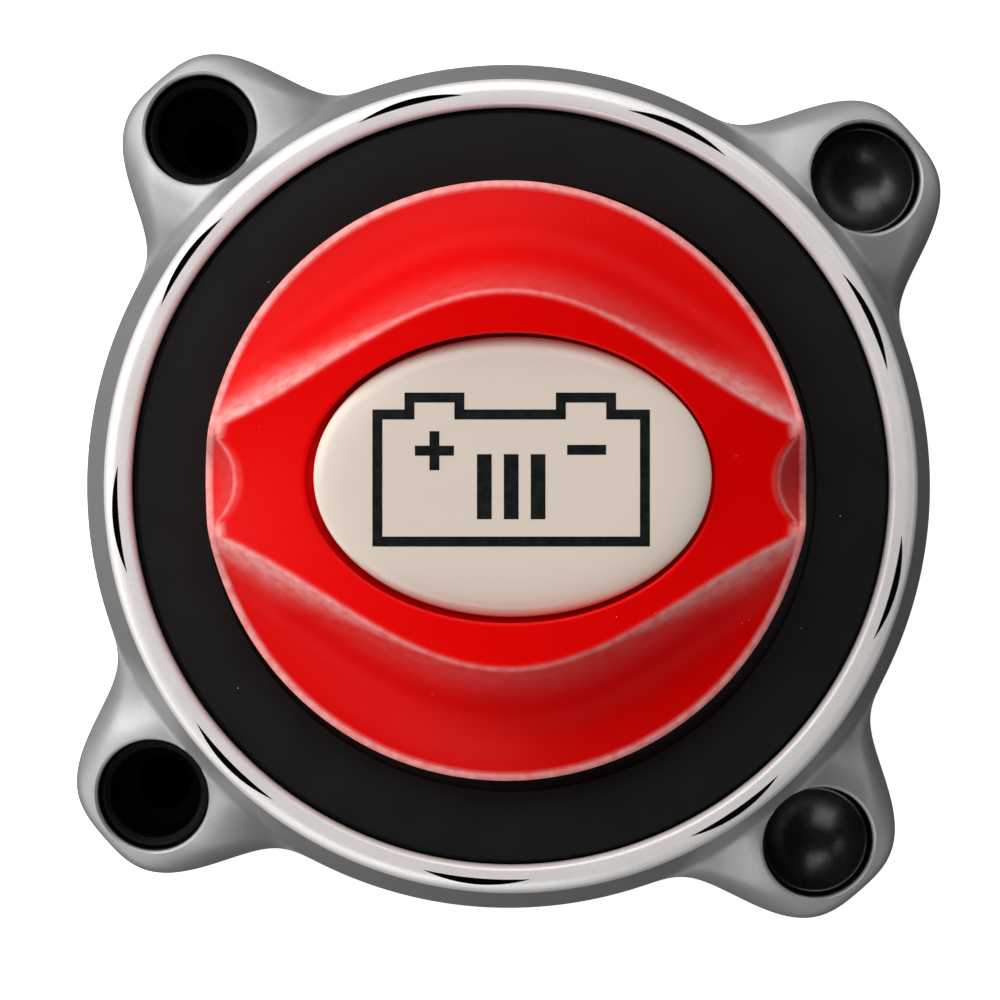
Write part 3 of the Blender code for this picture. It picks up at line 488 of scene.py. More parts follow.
def build_bezel():
    angles = np.linspace(0, 2 * np.pi, 720, endpoint=False)
    reach = outline_radius(angles)
    rings = [polar_ring(r, angles, z) for r, z in band_profile()]
    for t in 1 - np.cos(np.linspace(0.12, 1, 26) * np.pi / 2) ** 1.35:
        radius = BAND_OUTER + (reach - BAND_OUTER) * t
        rings.append(polar_ring(radius, angles, bezel_height(radius, angles)))
    rings.append(polar_ring(reach, angles, SKIRT_EDGE + 0.3))
    rings.append(polar_ring(reach - 0.3, angles, SKIRT_EDGE))
    rings.append(polar_ring(reach - BEZEL_WALL, angles, SKIRT_EDGE))
    start = BARREL_RADIUS + 0.3
    for t in np.linspace(1, 0, 12):
        radius = BAND_OUTER + (reach - BAND_OUTER) * t
        under = bezel_height(radius, angles) - BEZEL_WALL - 0.4
        rings.append(polar_ring(start + (reach - BEZEL_WALL - start) * t, angles, under))
    points, faces = loft(rings, closed=True)
    bright = len(band_profile()) - 1
    finish = [2] * (bright * len(angles)) + [0] * (len(faces) - bright * len(angles))
    finishes = [M["silver_paint"], M["black_plastic"], M["silver_band"]]
    bezel = new_object("bezel_shell", points, faces, finishes, 35, finish)
    for axis in EAR_AXES:
        combine(bezel, well_cutter(axis))
    for k in range(WINDOW_COUNT):
        outline = window_outline(WINDOW_FIRST + 2 * np.pi * k / WINDOW_COUNT)
        top = BEZEL_CREST + 1
        combine(bezel, prism("window", outline, top - 1 - WINDOW_DEPTH, top, [M["black_plastic"]]))
    crease(bezel, 38)
    return finish_piece(bezel, "housing", "silver_paint", "bezel")


def polar_ring(radius, angles, height):
    full = np.ones(len(angles))
    return np.stack([radius * np.cos(angles), radius * np.sin(angles), height * full], axis=1)


def well_cutter(axis):
    """Round cutter whose mouth flares to a small lip that follows the ear's surface."""
    around = np.linspace(0, 2 * np.pi, 96, endpoint=False)
    cx, cy = SCREW_REACH * math.cos(axis), SCREW_REACH * math.sin(axis)
    wide = WELL_RADIUS + WELL_LIP
    x, y = cx + wide * np.cos(around), cy + wide * np.sin(around)
    surface = bezel_height(np.hypot(x, y), np.arctan2(y, x))

    def ring(radius, height):
        return np.stack([cx + radius * np.cos(around), cy + radius * np.sin(around), height + 0 * x], axis=1)

    low = np.array([(cx, cy, SKIRT_EDGE - 1)])
    rings = [low, ring(WELL_RADIUS, SKIRT_EDGE - 1), ring(WELL_RADIUS, surface - WELL_LIP)]
    for t in np.linspace(0.2, 0.92, 5) * np.pi / 2:
        radius = WELL_RADIUS + WELL_LIP * (1 - np.cos(t))
        rings.append(ring(radius, surface - WELL_LIP * (1 - np.sin(t))))
    rings.append(ring(wide + 0.1, surface + 0.2))
    rings.append(ring(wide + 0.1, BEZEL_CREST + 2 + 0 * surface))
    rings.append(np.array([(cx, cy, BEZEL_CREST + 2)]))
    points, faces = loft(rings)
    count = len(around)
    paint = [1] * (2 * count) + [0] * (len(faces) - 2 * count)
    return new_object("well", points, faces, [M["silver_paint"], M["black_plastic"]], 35, paint)


def window_outline(direction, steps=24):
    """Lens between a small arc on the outside and a circle about the switch's axis inside."""
    across = WINDOW_INNER**2 + WINDOW_ARC_AT**2 - WINDOW_ARC**2
    reach = math.acos(across / (2 * WINDOW_INNER * WINDOW_ARC_AT))
    tip = (WINDOW_INNER * math.cos(reach) - WINDOW_ARC_AT, WINDOW_INNER * math.sin(reach))
    sweep = math.atan2(tip[1], tip[0])
    outer = np.linspace(-sweep, sweep, steps + 1)
    inner = np.linspace(reach, -reach, steps + 1)[1:-1]
    x = np.concatenate([WINDOW_ARC_AT + WINDOW_ARC * np.cos(outer), WINDOW_INNER * np.cos(inner)])
    y = np.concatenate([WINDOW_ARC * np.sin(outer), WINDOW_INNER * np.sin(inner)])
    c, s = math.cos(direction), math.sin(direction)
    return list(zip(x * c - y * s, x * s + y * c))


def build_label_ring():
    low, high = span("label_ring")
    inner, outer = 36.0, high[0]
    profile = [(inner, low[2]), (outer, low[2]), (outer, high[2]), (inner, high[2])]
    ring = turned("label_ring_plate", rounded(profile, 0.22), [M["black_label"]], 240)
    return finish_piece(ring, "housing", "black_label", "label_ring")


# ---- knob ---------------------------------------------------------------------------------

knob_low, knob_high = span("knob")
KNOB_AT = (knob_low[:2] + knob_high[:2]) / 2
KNOB_RADIUS = (knob_high[1] - knob_low[1]) / 2
KNOB_TURN = math.radians(4.1)
KNOB_CREST = knob_high[2]
STEM_FOOT = knob_low[2]
KNOB_SKIRT = KNOB_CREST - 18.8
KNOB_FLOOR = KNOB_CREST - 16.0
RIM_ROUND = 0.9
CREST_HALF = 21.85
CREST_LENGTH = 30.5
CREST_FALL = 7.0
GRIP_DISH = 0.5
SCOOP_EDGE = 2.6
SCOOP_FALL = 1.2
SCOOP_WIDTH = 4.9
SCOOP_CURVE = 1.15
NOTCH_RADIUS = 6.5
NOTCH_AT = 38.1
KNOB_WALL = 3.2
LABEL_SEAT = (23.6, 16.75)
LABEL_SEAT_AT = (0.35, 0.25)
LABEL_FLOOR = KNOB_CREST - 4.4
STEM_RADIUS = 4.8
EDGE_BLUR = 0.28


def crest_y(x):
    return CREST_HALF * np.exp(-((x / CREST_LENGTH) ** 2))


def knob_surface(x, y):
    """Top of the knob before its edges are softened: grip, two finger scoops, end notches."""
    crest = KNOB_CREST - CREST_FALL * (x / KNOB_RADIUS) ** 2
    grip = crest - GRIP_DISH * (1 - np.minimum(np.abs(y) / crest_y(x), 1.0) ** 2)
    rim = KNOB_FLOOR + SCOOP_EDGE + SCOOP_FALL * (1 - (x**2 + y**2) / KNOB_RADIUS**2)
    beyond = np.maximum(np.abs(y) - crest_y(x), 0.0)
    scoop = rim + (crest - rim) * np.exp(-((beyond / SCOOP_WIDTH) ** SCOOP_CURVE))
    height = np.where(np.abs(y) < crest_y(x), grip, scoop)
    distance = np.hypot(np.abs(x) - NOTCH_AT, y)
    shallow = NOTCH_AT - KNOB_RADIUS
    share = np.clip((distance - shallow) / (NOTCH_RADIUS - shallow), 0.0, 1.0)
    floor = KNOB_FLOOR + SCOOP_EDGE
    return np.where(distance < NOTCH_RADIUS, floor + (height - floor) * share**1.6, height)


class SoftHeight:
    """The knob's surface on a fine grid, blurred a little so that every edge is rounded."""

    def __init__(self, pitch=0.14):
        self.pitch = pitch
        self.half = KNOB_RADIUS + 2
        axis = np.arange(-self.half, self.half + pitch, pitch)
        grid = knob_surface(*np.meshgrid(axis, axis, indexing="ij"))
        reach = int(3 * EDGE_BLUR / pitch) + 1
        kernel = np.exp(-0.5 * (np.arange(-reach, reach + 1) * pitch / EDGE_BLUR) ** 2)
        kernel /= kernel.sum()
        for direction in (0, 1):
            padded = np.pad(grid, [(reach, reach) if d == direction else (0, 0) for d in (0, 1)], "edge")
            windows = np.lib.stride_tricks.sliding_window_view(padded, len(kernel), direction)
            grid = windows @ kernel
        self.grid = grid

    def __call__(self, x, y):
        u, v = (x + self.half) / self.pitch, (y + self.half) / self.pitch
        i = np.clip(u.astype(int), 0, self.grid.shape[0] - 2)
        j = np.clip(v.astype(int), 0, self.grid.shape[1] - 2)
        fu, fv = u - i, v - j
        g = self.grid
        low = g[i, j] * (1 - fv) + g[i, j + 1] * fv
        high = g[i + 1, j] * (1 - fv) + g[i + 1, j + 1] * fv
        return low * (1 - fu) + high * fu


def crest_radius(angles):
    """Distance along rays to the crest of the grip or, at its ends, to the edge of the notch."""
    c, s = np.abs(np.cos(angles)), np.abs(np.sin(angles))
    low, high = np.full(len(angles), 5.0), np.full(len(angles), KNOB_RADIUS)
    for _ in range(40):
        middle = (low + high) / 2
        inside = middle * s < crest_y(middle * c)
        low, high = np.where(inside, middle, low), np.where(inside, high, middle)
    across = NOTCH_RADIUS**2 - (NOTCH_AT * s) ** 2
    notch = np.where(across > 0, NOTCH_AT * c - np.sqrt(np.maximum(across, 0)), KNOB_RADIUS)
    return np.minimum(np.minimum(low, notch), KNOB_RADIUS - RIM_ROUND - 0.35)


def seat_radius(angles, grow=0.0):
    a, b = LABEL_SEAT[0] + grow, LABEL_SEAT[1] + grow
    cx, cy = LABEL_SEAT_AT
    c, s = np.cos(angles), np.sin(angles)
    p = (c / a) ** 2 + (s / b) ** 2
    q = c * cx / a**2 + s * cy / b**2
    k = (cx / a) ** 2 + (cy / b) ** 2 - 1
    return (q + np.sqrt(q * q - p * k)) / p


def build_knob():
    angles = np.linspace(0, 2 * np.pi, 576, endpoint=False)
    soft = SoftHeight()

    def top(radius):
        return soft(radius * np.cos(angles), radius * np.sin(angles))

    seat, crest = seat_radius(angles), crest_radius(angles)
    rim = KNOB_RADIUS - RIM_ROUND
    lip = 0.3
    rings = [np.array([(0, 0, LABEL_FLOOR)]), polar_ring(seat * 0.5, angles, LABEL_FLOOR)]
    rings.append(polar_ring(seat - 0.2, angles, LABEL_FLOOR))
    rings.append(polar_ring(seat, angles, LABEL_FLOOR + 0.2))
    edge = top(seat + lip)
    for t in np.linspace(0, np.pi / 2, 5):
        rings.append(polar_ring(seat + lip * (1 - np.cos(t)), angles, edge - lip * (1 - np.sin(t))))
    for t in np.linspace(0, 1, 22)[1:]:
        radius = seat + lip + (crest - seat - lip) * t
        rings.append(polar_ring(radius, angles, top(radius)))
    for t in np.linspace(0, 1, 46)[1:] ** 1.25:
        radius = crest + (rim - crest) * t
        rings.append(polar_ring(radius, angles, top(radius)))
    edge = top(np.full(len(angles), rim))
    for t in np.linspace(0, np.pi / 2, 9)[1:]:
        rings.append(polar_ring(rim + RIM_ROUND * np.sin(t), angles, edge - RIM_ROUND * (1 - np.cos(t))))
    rings.append(polar_ring(KNOB_RADIUS - 0.4, angles, KNOB_SKIRT + 0.4))
    rings.append(polar_ring(KNOB_RADIUS - 0.8, angles, KNOB_SKIRT))
    inner = KNOB_RADIUS - 2.4
    rings.append(polar_ring(inner, angles, KNOB_SKIRT))
    for t in (1.0, 0.8, 0.6, 0.4, 0.25, 0.15):
        radius = np.minimum(crest + 1.0 + (rim - crest) * t, inner - 0.05 * (1 - t))
        under = np.maximum(top(radius) - KNOB_WALL, KNOB_SKIRT + 0.6)
        rings.append(polar_ring(radius, angles, under))
    roof = LABEL_FLOOR - 2.8
    under = np.minimum(roof, top(crest) - KNOB_WALL)
    rings.append(polar_ring(np.minimum(seat, crest - 1.5), angles, under))
    stem = [(6.0, roof), (5.6, STEM_FOOT + 11.5), (STEM_RADIUS, STEM_FOOT + 11), (STEM_RADIUS, STEM_FOOT + 0.6)]
    stem.append((STEM_RADIUS - 0.6, STEM_FOOT))
    rings += [polar_ring(r, angles, z) for r, z in stem]
    rings.append(np.array([(0, 0, STEM_FOOT)]))
    points, faces = loft(rings)
    knob = new_object("knob_shell", points, faces, [M["red_plastic"]], 50)
    key = block("key", (-5.9, -1.4, STEM_FOOT + 1), (5.9, 1.4, STEM_FOOT + 12), [M["red_plastic"]])
    combine(knob, key, "UNION")
    crease(knob, 50)
    mark_scuff_and_highlight(knob)
    set_on_knob(knob, KNOB_AT)
    return finish_piece(knob, "knob", "red_plastic", "knob")


def mark_scuff_and_highlight(knob):
    """Writes the pale tint share of each point: most on the rim, scuffing with a painted highlight; less along the
    crests and notch edges, a painted highlight with a painted sheen beside it.
    """
    count = len(knob.data.vertices)
    points = np.empty(3 * count)
    knob.data.vertices.foreach_get("co", points)
    x, y, z = points.reshape(-1, 3).T / MM
    radius = np.hypot(x, y)
    crest = crest_radius(np.arctan2(y, x))
    inward = (KNOB_RADIUS - RIM_ROUND) / np.maximum(radius, 1.0)
    below = knob_surface(x * inward, y * inward) - z
    # Rim: scuffed edge, partly a painted highlight.
    rim = np.clip((radius - KNOB_RADIUS + RIM_ROUND + 0.1) / 0.35, 0, 1)
    rim *= np.clip((1.5 - below) / 0.9, 0, 1)
    # Towards the ends the painted highlight widens outside the crest.
    ends = np.clip((np.abs(x) - 9.0) / 19.0, 0, 1)
    ends *= np.hypot(np.abs(x) - NOTCH_AT, y) > NOTCH_RADIUS + 0.5
    width = 0.3 + np.where(radius > crest, 2.2, 0.2) * ends**1.5
    crest_highlight = np.exp(-(((radius - crest) / width) ** 2)) * (z > KNOB_FLOOR + 1) * (0.42 + 0.3 * ends)
    # Painted sheen just outside the crest.
    sheen = 0.11 * np.exp(-(((radius - crest) / 2.4) ** 2)) * (radius > crest) * (z > KNOB_FLOOR + 1)
    scuff_and_highlight = knob.data.attributes.new("scuff_and_highlight", "FLOAT", "POINT")
    scuff_and_highlight.data.foreach_set("value", np.maximum(0.72 * rim, np.maximum(crest_highlight, sheen)))


def set_on_knob(obj, centre):
    """Turns a piece made about the origin to the knob's attitude and moves it into place."""
    turn = Matrix.Rotation(KNOB_TURN, 4, "Z")
    obj.data.transform(Matrix.Translation((centre[0] * MM, centre[1] * MM, 0)) @ turn)
    return obj


# ---- label on the knob --------------------------------------------------------------------

label_low, label_high = span("knob_label")
LABEL_AT = (label_low[:2] + label_high[:2]) / 2
LABEL_HALF = (23.0, 16.2)
LABEL_BACK, LABEL_TOP = label_low[2], label_high[2]


def dome_height(share):
    """Height of the clear dome at a share of the way from its centre to its edge."""
    rise = LABEL_TOP - LABEL_BACK
    inside = np.clip(share, 0.0, 1.0)
    return LABEL_BACK + 1.0 + (rise - 1.0) * np.sqrt(np.maximum(1 - inside**8, 0.0))


def build_knob_label():
    angles = np.linspace(0, 2 * np.pi, 192, endpoint=False)
    shares = np.sin(np.linspace(1, 0, 26)[:-1] * np.pi / 2)
    rings = [np.array([(0, 0, LABEL_BACK)]), ellipse_ring(0.996, angles, LABEL_BACK)]
    rings.append(ellipse_ring(1.0, angles, LABEL_BACK + 0.15))
    rings += [ellipse_ring(share, angles, dome_height(share)) for share in shares]
    rings.append(np.array([(0, 0, LABEL_TOP)]))
    points, faces = loft(rings)
    label = new_object("label_dome", points, faces, [M["cream_label"]], 50)
    set_on_knob(label, LABEL_AT)
    return finish_piece(label, "knob", "cream_label", "knob_label")


def ellipse_ring(share, angles, height):
    x, y = share * LABEL_HALF[0] * np.cos(angles), share * LABEL_HALF[1] * np.sin(angles)
    return np.stack([x, y, np.full(len(angles), height)], axis=1)


def build_battery_symbol():
    """Battery outline with its two poles, a plus, a minus and three charge bars."""
    line = 1.15
    left, right, low, high = -16.2, 15.8, -8.05, 7.75
    pole_top = 9.7
    poles = [(-12.5, -5.6), (4.95, 11.9)]
    bars = [(left, low, right, low + line), (left, low + line, left + line, high)]
    bars.append((right - line, low + line, right, high))
    gaps = [left + line, poles[0][0], poles[0][1], poles[1][0], poles[1][1], right - line]
    for start, end in zip(gaps[::2], gaps[1::2]):
        bars.append((start, high - line, end, high))
    for start, end in poles:
        bars.append((start, high - line, start + line, pole_top - line))
        bars.append((end - line, high - line, end, pole_top - line))
        bars.append((start, pole_top - line, end, pole_top))
    plus, minus, arm = (-9.05, 3.0), (8.5, 3.1), 2.25
    bars.append((plus[0] - arm, plus[1] - line / 2, plus[0] + arm, plus[1] + line / 2))
    bars.append((plus[0] - line / 2, plus[1] + line / 2, plus[0] + line / 2, plus[1] + arm))
    bars.append((plus[0] - line / 2, plus[1] - arm, plus[0] + line / 2, plus[1] - line / 2))
    bars.append((minus[0] - arm, minus[1] - line / 2, minus[0] + arm, minus[1] + line / 2))
    for k in (-1, 0, 1):
        middle = (left + right) / 2 + 3.1 * k
        bars.append((middle - 0.85, -4.9, middle + 0.85, 2.6))
    points, faces = [], []
    for bar in bars:
        add_print(points, faces, *bar)
    symbol = new_object("battery_symbol", points, faces, [M["label_ink"]], 30)
    set_on_knob(symbol, LABEL_AT)
    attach(symbol, "knob")
    return symbol


def add_print(points, faces, x0, y0, x1, y1):
    """A thin closed plate of ink that follows the dome over one rectangle."""
    columns, rows = max(1, round((x1 - x0) / 0.5)), max(1, round((y1 - y0) / 0.5))
    start = len(points)
    for lift in (-0.02, 0.02):
        for j in range(rows + 1):
            for i in range(columns + 1):
                x, y = x0 + (x1 - x0) * i / columns, y0 + (y1 - y0) * j / rows
                share = math.hypot(x / LABEL_HALF[0], y / LABEL_HALF[1])
                points.append((x, y, float(dome_height(share)) + lift))
    layer, width = (columns + 1) * (rows + 1), columns + 1
    for level in (0, 1):
        base = start + level * layer
        for j in range(rows):
            for i in range(columns):
                a = base + j * width + i
                faces.append((a, a + 1, a + width + 1, a + width))
    border = [i for i in range(columns)] + [columns + width * j for j in range(rows)]
    border += [columns - i + width * rows for i in range(columns)] + [width * (rows - j) for j in range(rows)]
    for k, a in enumerate(border):
        b = border[(k + 1) % len(border)]
        faces.append((start + a, start + b, start + layer + b, start + layer + a))


# ---- housing and rear hardware ------------------------------------------------------------

housing_low, housing_high = span("housing")
SKIRT_TOP = SKIRT_EDGE - 0.3
BARREL_TOP = housing_high[2] - 1.8
LEDGE = 30.5
STUD_SPACE_RADIUS = 44.0
CHAMBER_RADIUS = 38.0
CHAMBER_TOP = 48.5
HUB_BORE = 10.4
SEAL_RADIUS = 12.9
SEAL_FLOOR = 50.6
POST_RADIUS = 6.4
POST_TOP = 38.0
SCREW_HEAD_RADIUS = 5.5
SCREW_HEAD_SEAT = 10.0
SCREW_HOLE_RADIUS = 3.3
CABLE_HALF_WIDTH = 11.0
CABLE_TOP = 20.5
COVER_SCREW_AT = 40.2
THREAD_PITCH = 1.5
THREAD_DEPTH = 0.85


def ear_centres():
    return [(SCREW_REACH * math.cos(a), SCREW_REACH * math.sin(a)) for a in EAR_AXES]


def build_housing():
    black = [M["black_plastic"]]
    angles = np.linspace(0, 2 * np.pi, 480, endpoint=False)
    reach = outline_radius(angles) - 0.5
    rings = [np.array([(0, 0, 0.0)])]
    for t in np.linspace(0, np.pi / 2, 5):
        rings.append(polar_ring(reach - 0.7 * (1 - np.sin(t)), angles, 0.7 * (1 - np.cos(t))))
    for t in np.linspace(0, np.pi / 2, 4):
        rings.append(polar_ring(reach - 0.4 * (1 - np.cos(t)), angles, SKIRT_TOP - 0.4 * (1 - np.sin(t))))
    rings.append(np.array([(0, 0, SKIRT_TOP)]))
    points, faces = loft(rings)
    housing = new_object("housing_body", points, faces, black, 40)
    foot, front, shoulder = SKIRT_TOP - 5.7, housing_high[2], BEZEL_BORE - 0.3
    barrel = [(0, foot), (BARREL_RADIUS, foot), (BARREL_RADIUS, BARREL_TOP), (shoulder, BARREL_TOP)]
    barrel += [(shoulder, front), (0, front)]
    combine(housing, turned("barrel", barrel, black, 240), "UNION")
    for centre in ear_centres():
        post = [(0, foot), (POST_RADIUS, foot), (POST_RADIUS, POST_TOP), (0, POST_TOP)]
        combine(housing, turned("post", post, black, 72, centre), "UNION")
    rooms = [(0, -1), (STUD_SPACE_RADIUS, -1), (STUD_SPACE_RADIUS, LEDGE), (CHAMBER_RADIUS, LEDGE)]
    rooms += [(CHAMBER_RADIUS, CHAMBER_TOP), (HUB_BORE, CHAMBER_TOP), (HUB_BORE, SEAL_FLOOR)]
    rooms += [(SEAL_RADIUS, SEAL_FLOOR), (SEAL_RADIUS, front + 1), (0, front + 1)]
    combine(housing, turned("rooms", rooms, black, 192))
    base_rear = span("contact_base")[0][2]
    for side in (-1, 1):
        at = (0, side * (COVER_SCREW_AT + 0.4))
        low, high = span("rear_cover")[1][2] + 0.3, base_rear - 0.3
        boss = [(0, low), (4.6, low), (4.6, high), (0, high)]
        combine(housing, turned("boss", boss, black, 64, at), "UNION")
        pilot = [(0, 0.5), (2.0, 0.5), (2.0, 17.0), (0, 17.0)]
        combine(housing, turned("pilot", pilot, black, 48, (0, side * COVER_SCREW_AT)))
        combine(housing, cable_cutter(side))
    head, neck, over = SCREW_HEAD_RADIUS, SCREW_HOLE_RADIUS, POST_TOP + 1
    well = [(0, -1), (neck + 0.4, -1), (neck + 0.4, 0), (neck, 0.4), (neck, SCREW_HEAD_SEAT)]
    well += [(head, SCREW_HEAD_SEAT), (head, POST_TOP - 0.5), (head + 0.5, POST_TOP), (head + 0.5, over), (0, over)]
    for centre in ear_centres():
        combine(housing, turned("screw_well", well, black, 72, centre))
    crease(housing, 35)
    return finish_piece(housing, "housing", "black_plastic", "housing")


def cable_cutter(side, steps=40):
    """Arched cable entry with a flared mouth."""
    spring = CABLE_TOP - CABLE_HALF_WIDTH
    ends = [(STUD_SPACE_RADIUS - 2, 0.0), (BODY_RADIUS - 1.3, 0.0), (BODY_RADIUS - 0.4, 0.6), (BODY_RADIUS + 2, 1.6)]
    rings = []
    for x, flare in ends:
        half = CABLE_HALF_WIDTH + flare
        arch = [(side * x, -half, -1), (side * x, half, -1)]
        for i in range(steps + 1):
            a = math.pi * i / steps
            arch.append((side * x, half * math.cos(a), spring + half * math.sin(a)))
        rings.append(np.array(arch))
    count = len(rings[0])
    points, faces = loft(rings)
    faces += [tuple(range(count)), tuple(range(3 * count, 4 * count))]
    return new_object("cable_entry", points, faces, [M["black_plastic"]], 30)


def build_rear_cover():
    low, high = span("rear_cover")
    radius, top = high[0], high[2]
    groove = 0.35
    profile = [(0, 0), (12, 0), (12.3, groove), (13.7, groove), (14, 0), (34, 0), (34.3, groove)]
    profile += [(35.7, groove), (36, 0), (radius, 0), (radius, top), (0, top)]
    shape = profile[:1] + rounded(profile[1:-1], 0.25, 3, closed=False) + profile[-1:]
    cover = turned("cover_plate", shape, [M["black_cover"]], 240)
    hole = [(0, -1), (3.4, -1), (3.4, 0), (3.1, 0.3), (3.1, 1.3), (2.0, 1.3), (2.0, top + 1), (0, top + 1)]
    for side in (-1, 1):
        combine(cover, turned("screw_hole", hole, [M["black_cover"]], 64, (0, side * COVER_SCREW_AT)))
    crease(cover, 35)
    return finish_piece(cover, "housing", "black_cover", "rear_cover")


def build_cover_screw(node):
    """Countersunk-style flat screw with a cross recess, seen from behind."""
    low, high = span(node)
    centre = (low[:2] + high[:2]) / 2
    head, foot, tip = (high[0] - low[0]) / 2, low[2], high[2]
    under = foot + 0.9
    profile = [(0, foot), (head - 0.35, foot), (head, foot + 0.35), (head, under), (1.7, under)]
    profile += [(1.7, tip - 1), (1.2, tip), (0, tip)]
    screw = turned(node + "_piece", profile, [M["stainless"]], 64, centre)
    for turn in (20, 110):
        c, t = math.radians(turn), 0.42
        along, across = (math.cos(c) * 1.7, math.sin(c) * 1.7), (-math.sin(c) * t, math.cos(c) * t)
        outline = []
        for u, v in ((1, 1), (-1, 1), (-1, -1), (1, -1)):
            x = centre[0] + u * along[0] + v * across[0]
            outline.append((x, centre[1] + u * along[1] + v * across[1]))
        combine(screw, prism("recess", outline, foot - 1, foot + 0.75, [M["stainless"]]))
    crease(screw, 35)
    return finish_piece(screw, "housing", "stainless", node)


def build_stud(node):
    """M10 stud: rolled thread from its chamfered tip to the plain collar under the head."""
    low, high = span(node)
    centre = (low[:2] + high[:2]) / 2
    tip, top, head = low[2], high[2], (high[0] - low[0]) / 2
    shank, plain = 5.0, span("contact_base")[0][2] - 0.4
    around = np.linspace(0, 2 * np.pi, 60, endpoint=False)
    rings = [np.array([(*centre, tip)])]
    for z in np.arange(tip, plain, 0.125):
        phase = (z / THREAD_PITCH - around / (2 * np.pi)) % 1.0
        flank = np.abs(2 * phase - 1)
        depth = THREAD_DEPTH * np.clip((flank - 0.12) / 0.76, 0, 1)
        radius = np.minimum(shank - depth, shank - 1.2 + (z - tip))
        ring = [centre[0] + radius * np.cos(around), centre[1] + radius * np.sin(around), 0 * around + z]
        rings.append(np.stack(ring, axis=1))
    collar = [(shank, plain + 0.3), (shank, top - 2.2), (head - 0.2, top - 2.2), (head, top - 2.0)]
    collar += [(head, top - 0.4), (head - 0.4, top), (0, top)]
    rings += turned_rings(collar, 60, centre)
    points, faces = loft(rings)
    stud = new_object(node + "_piece", points, faces, [M["tinned_copper"]], 40)
    return finish_piece(stud, "housing", "tinned_copper", node)


def build_nut(node, slot):
    """Hexagon nut with turned chamfers on both faces and a countersunk bore."""
    low, high = span(node)
    centre = (low[:2] + high[:2]) / 2
    corner = max(high[0] - low[0], high[1] - low[1]) / 2
    flat = corner * math.sqrt(3) / 2
    hexagon = []
    for k in range(6):
        a = math.pi * k / 3
        hexagon.append((centre[0] + 9.8 * math.cos(a), centre[1] + 9.8 * math.sin(a)))
    nut = prism(node + "_piece", hexagon, low[2], high[2], [M[slot]])
    rise = (corner - flat + 0.2) * 0.9
    z0, z1 = low[2], high[2]
    cone = [(0, z0), (flat - 0.2, z0), (corner, z0 + rise), (corner, z1 - rise), (flat - 0.2, z1), (0, z1)]
    combine(nut, turned("cone", cone, [M[slot]], 96, centre), "INTERSECT")
    bore = [(0, z0 - 1), (6.0, z0 - 1), (6.0, z0), (5.3, z0 + 0.6), (5.3, z1 - 0.6), (6.0, z1)]
    bore += [(6.0, z1 + 1), (0, z1 + 1)]
    combine(nut, turned("bore", bore, [M[slot]], 72, centre))
    soften(nut, 0.12, 25)
    crease(nut, 25)
    return finish_piece(nut, "housing", slot, node)


def build_flat_washer(node):
    low, high = span(node)
    centre = (low[:2] + high[:2]) / 2
    outer = (high[0] - low[0]) / 2
    section = [(5.3, low[2]), (outer, low[2]), (outer, high[2]), (5.3, high[2])]
    washer = turned(node + "_piece", rounded(section, 0.25), [M["stainless"]], 120, centre)
    return finish_piece(washer, "housing", "stainless", node)


def build_lock_washer(node, steps=120):
    """Split spring washer: one rising turn of square wire with its cut ends."""
    low, high = span(node)
    centre = (low[:2] + high[:2]) / 2
    outer = (high[0] - low[0]) / 2
    opening, rise = math.radians(6), 0.35
    section = rounded([(5.3, low[2]), (outer, low[2]), (outer, high[2] - rise), (5.3, high[2] - rise)], 0.2, 3)
    rings = []
    for i in range(steps + 1):
        a = opening + (2 * math.pi - 2 * opening) * i / steps
        lift = rise * i / steps
        ring = [(centre[0] + r * math.cos(a), centre[1] + r * math.sin(a), z + lift) for r, z in section]
        rings.append(np.array(ring))
    points, faces = loft(rings)
    count = len(section)
    faces += [tuple(range(count)), tuple(range(steps * count, (steps + 1) * count))]
    washer = new_object(node + "_piece", points, faces, [M["stainless"]], 40)
    return finish_piece(washer, "housing", "stainless", node)


def build_shaft_seal():
    low, high = span("shaft_seal")
    outer, wire = high[0], (high[2] - low[2]) / 2
    middle, level = outer - wire, (low[2] + high[2]) / 2
    section = []
    for t in np.linspace(0, 2 * np.pi, 20, endpoint=False):
        section.append((middle + wire * math.cos(t), level + wire * math.sin(t)))
    seal = turned("seal_ring", section, [M["rubber"]], 120)
    return finish_piece(seal, "housing", "rubber", "shaft_seal")


def build_hardware():
    for node in ("cover_screw_1", "cover_screw_2"):
        build_cover_screw(node)
    for letter in "ab":
        build_stud("terminal_stud_" + letter)
        build_nut("terminal_nut_" + letter, "stainless")
        build_nut("jam_nut_" + letter, "brass")
        build_flat_washer("flat_washer_" + letter)
        build_lock_washer("lock_washer_" + letter)
    build_shaft_seal()


# ---- stage --------------------------------------------------------------------------------


def add_floor():
    size = 4000.0
    points = [(-size, -size, -0.3), (size, -size, -0.3), (size, size, -0.3), (-size, size, -0.3)]
    floor = new_object("floor", points, [(0, 1, 2, 3)], [backdrop()])
    floor.visible_glossy = False
    floor.visible_diffuse = False
    # Black sheet under the switch, inside its outline: painted shade that keeps the floor dark through the screw
    # wells.
    angles = np.linspace(0, 2 * np.pi, 360, endpoint=False)
    reach = outline_radius(angles) - 2.5
    outline = list(zip(reach * np.cos(angles), reach * np.sin(angles)))
    prism("pad", outline, -0.25, -0.05, [M["rubber"]])


ROLL = math.radians(4.1)
LEAN = math.radians(0.85)
FRAME_WIDTH = 118.0
DISTANCE = 700.0


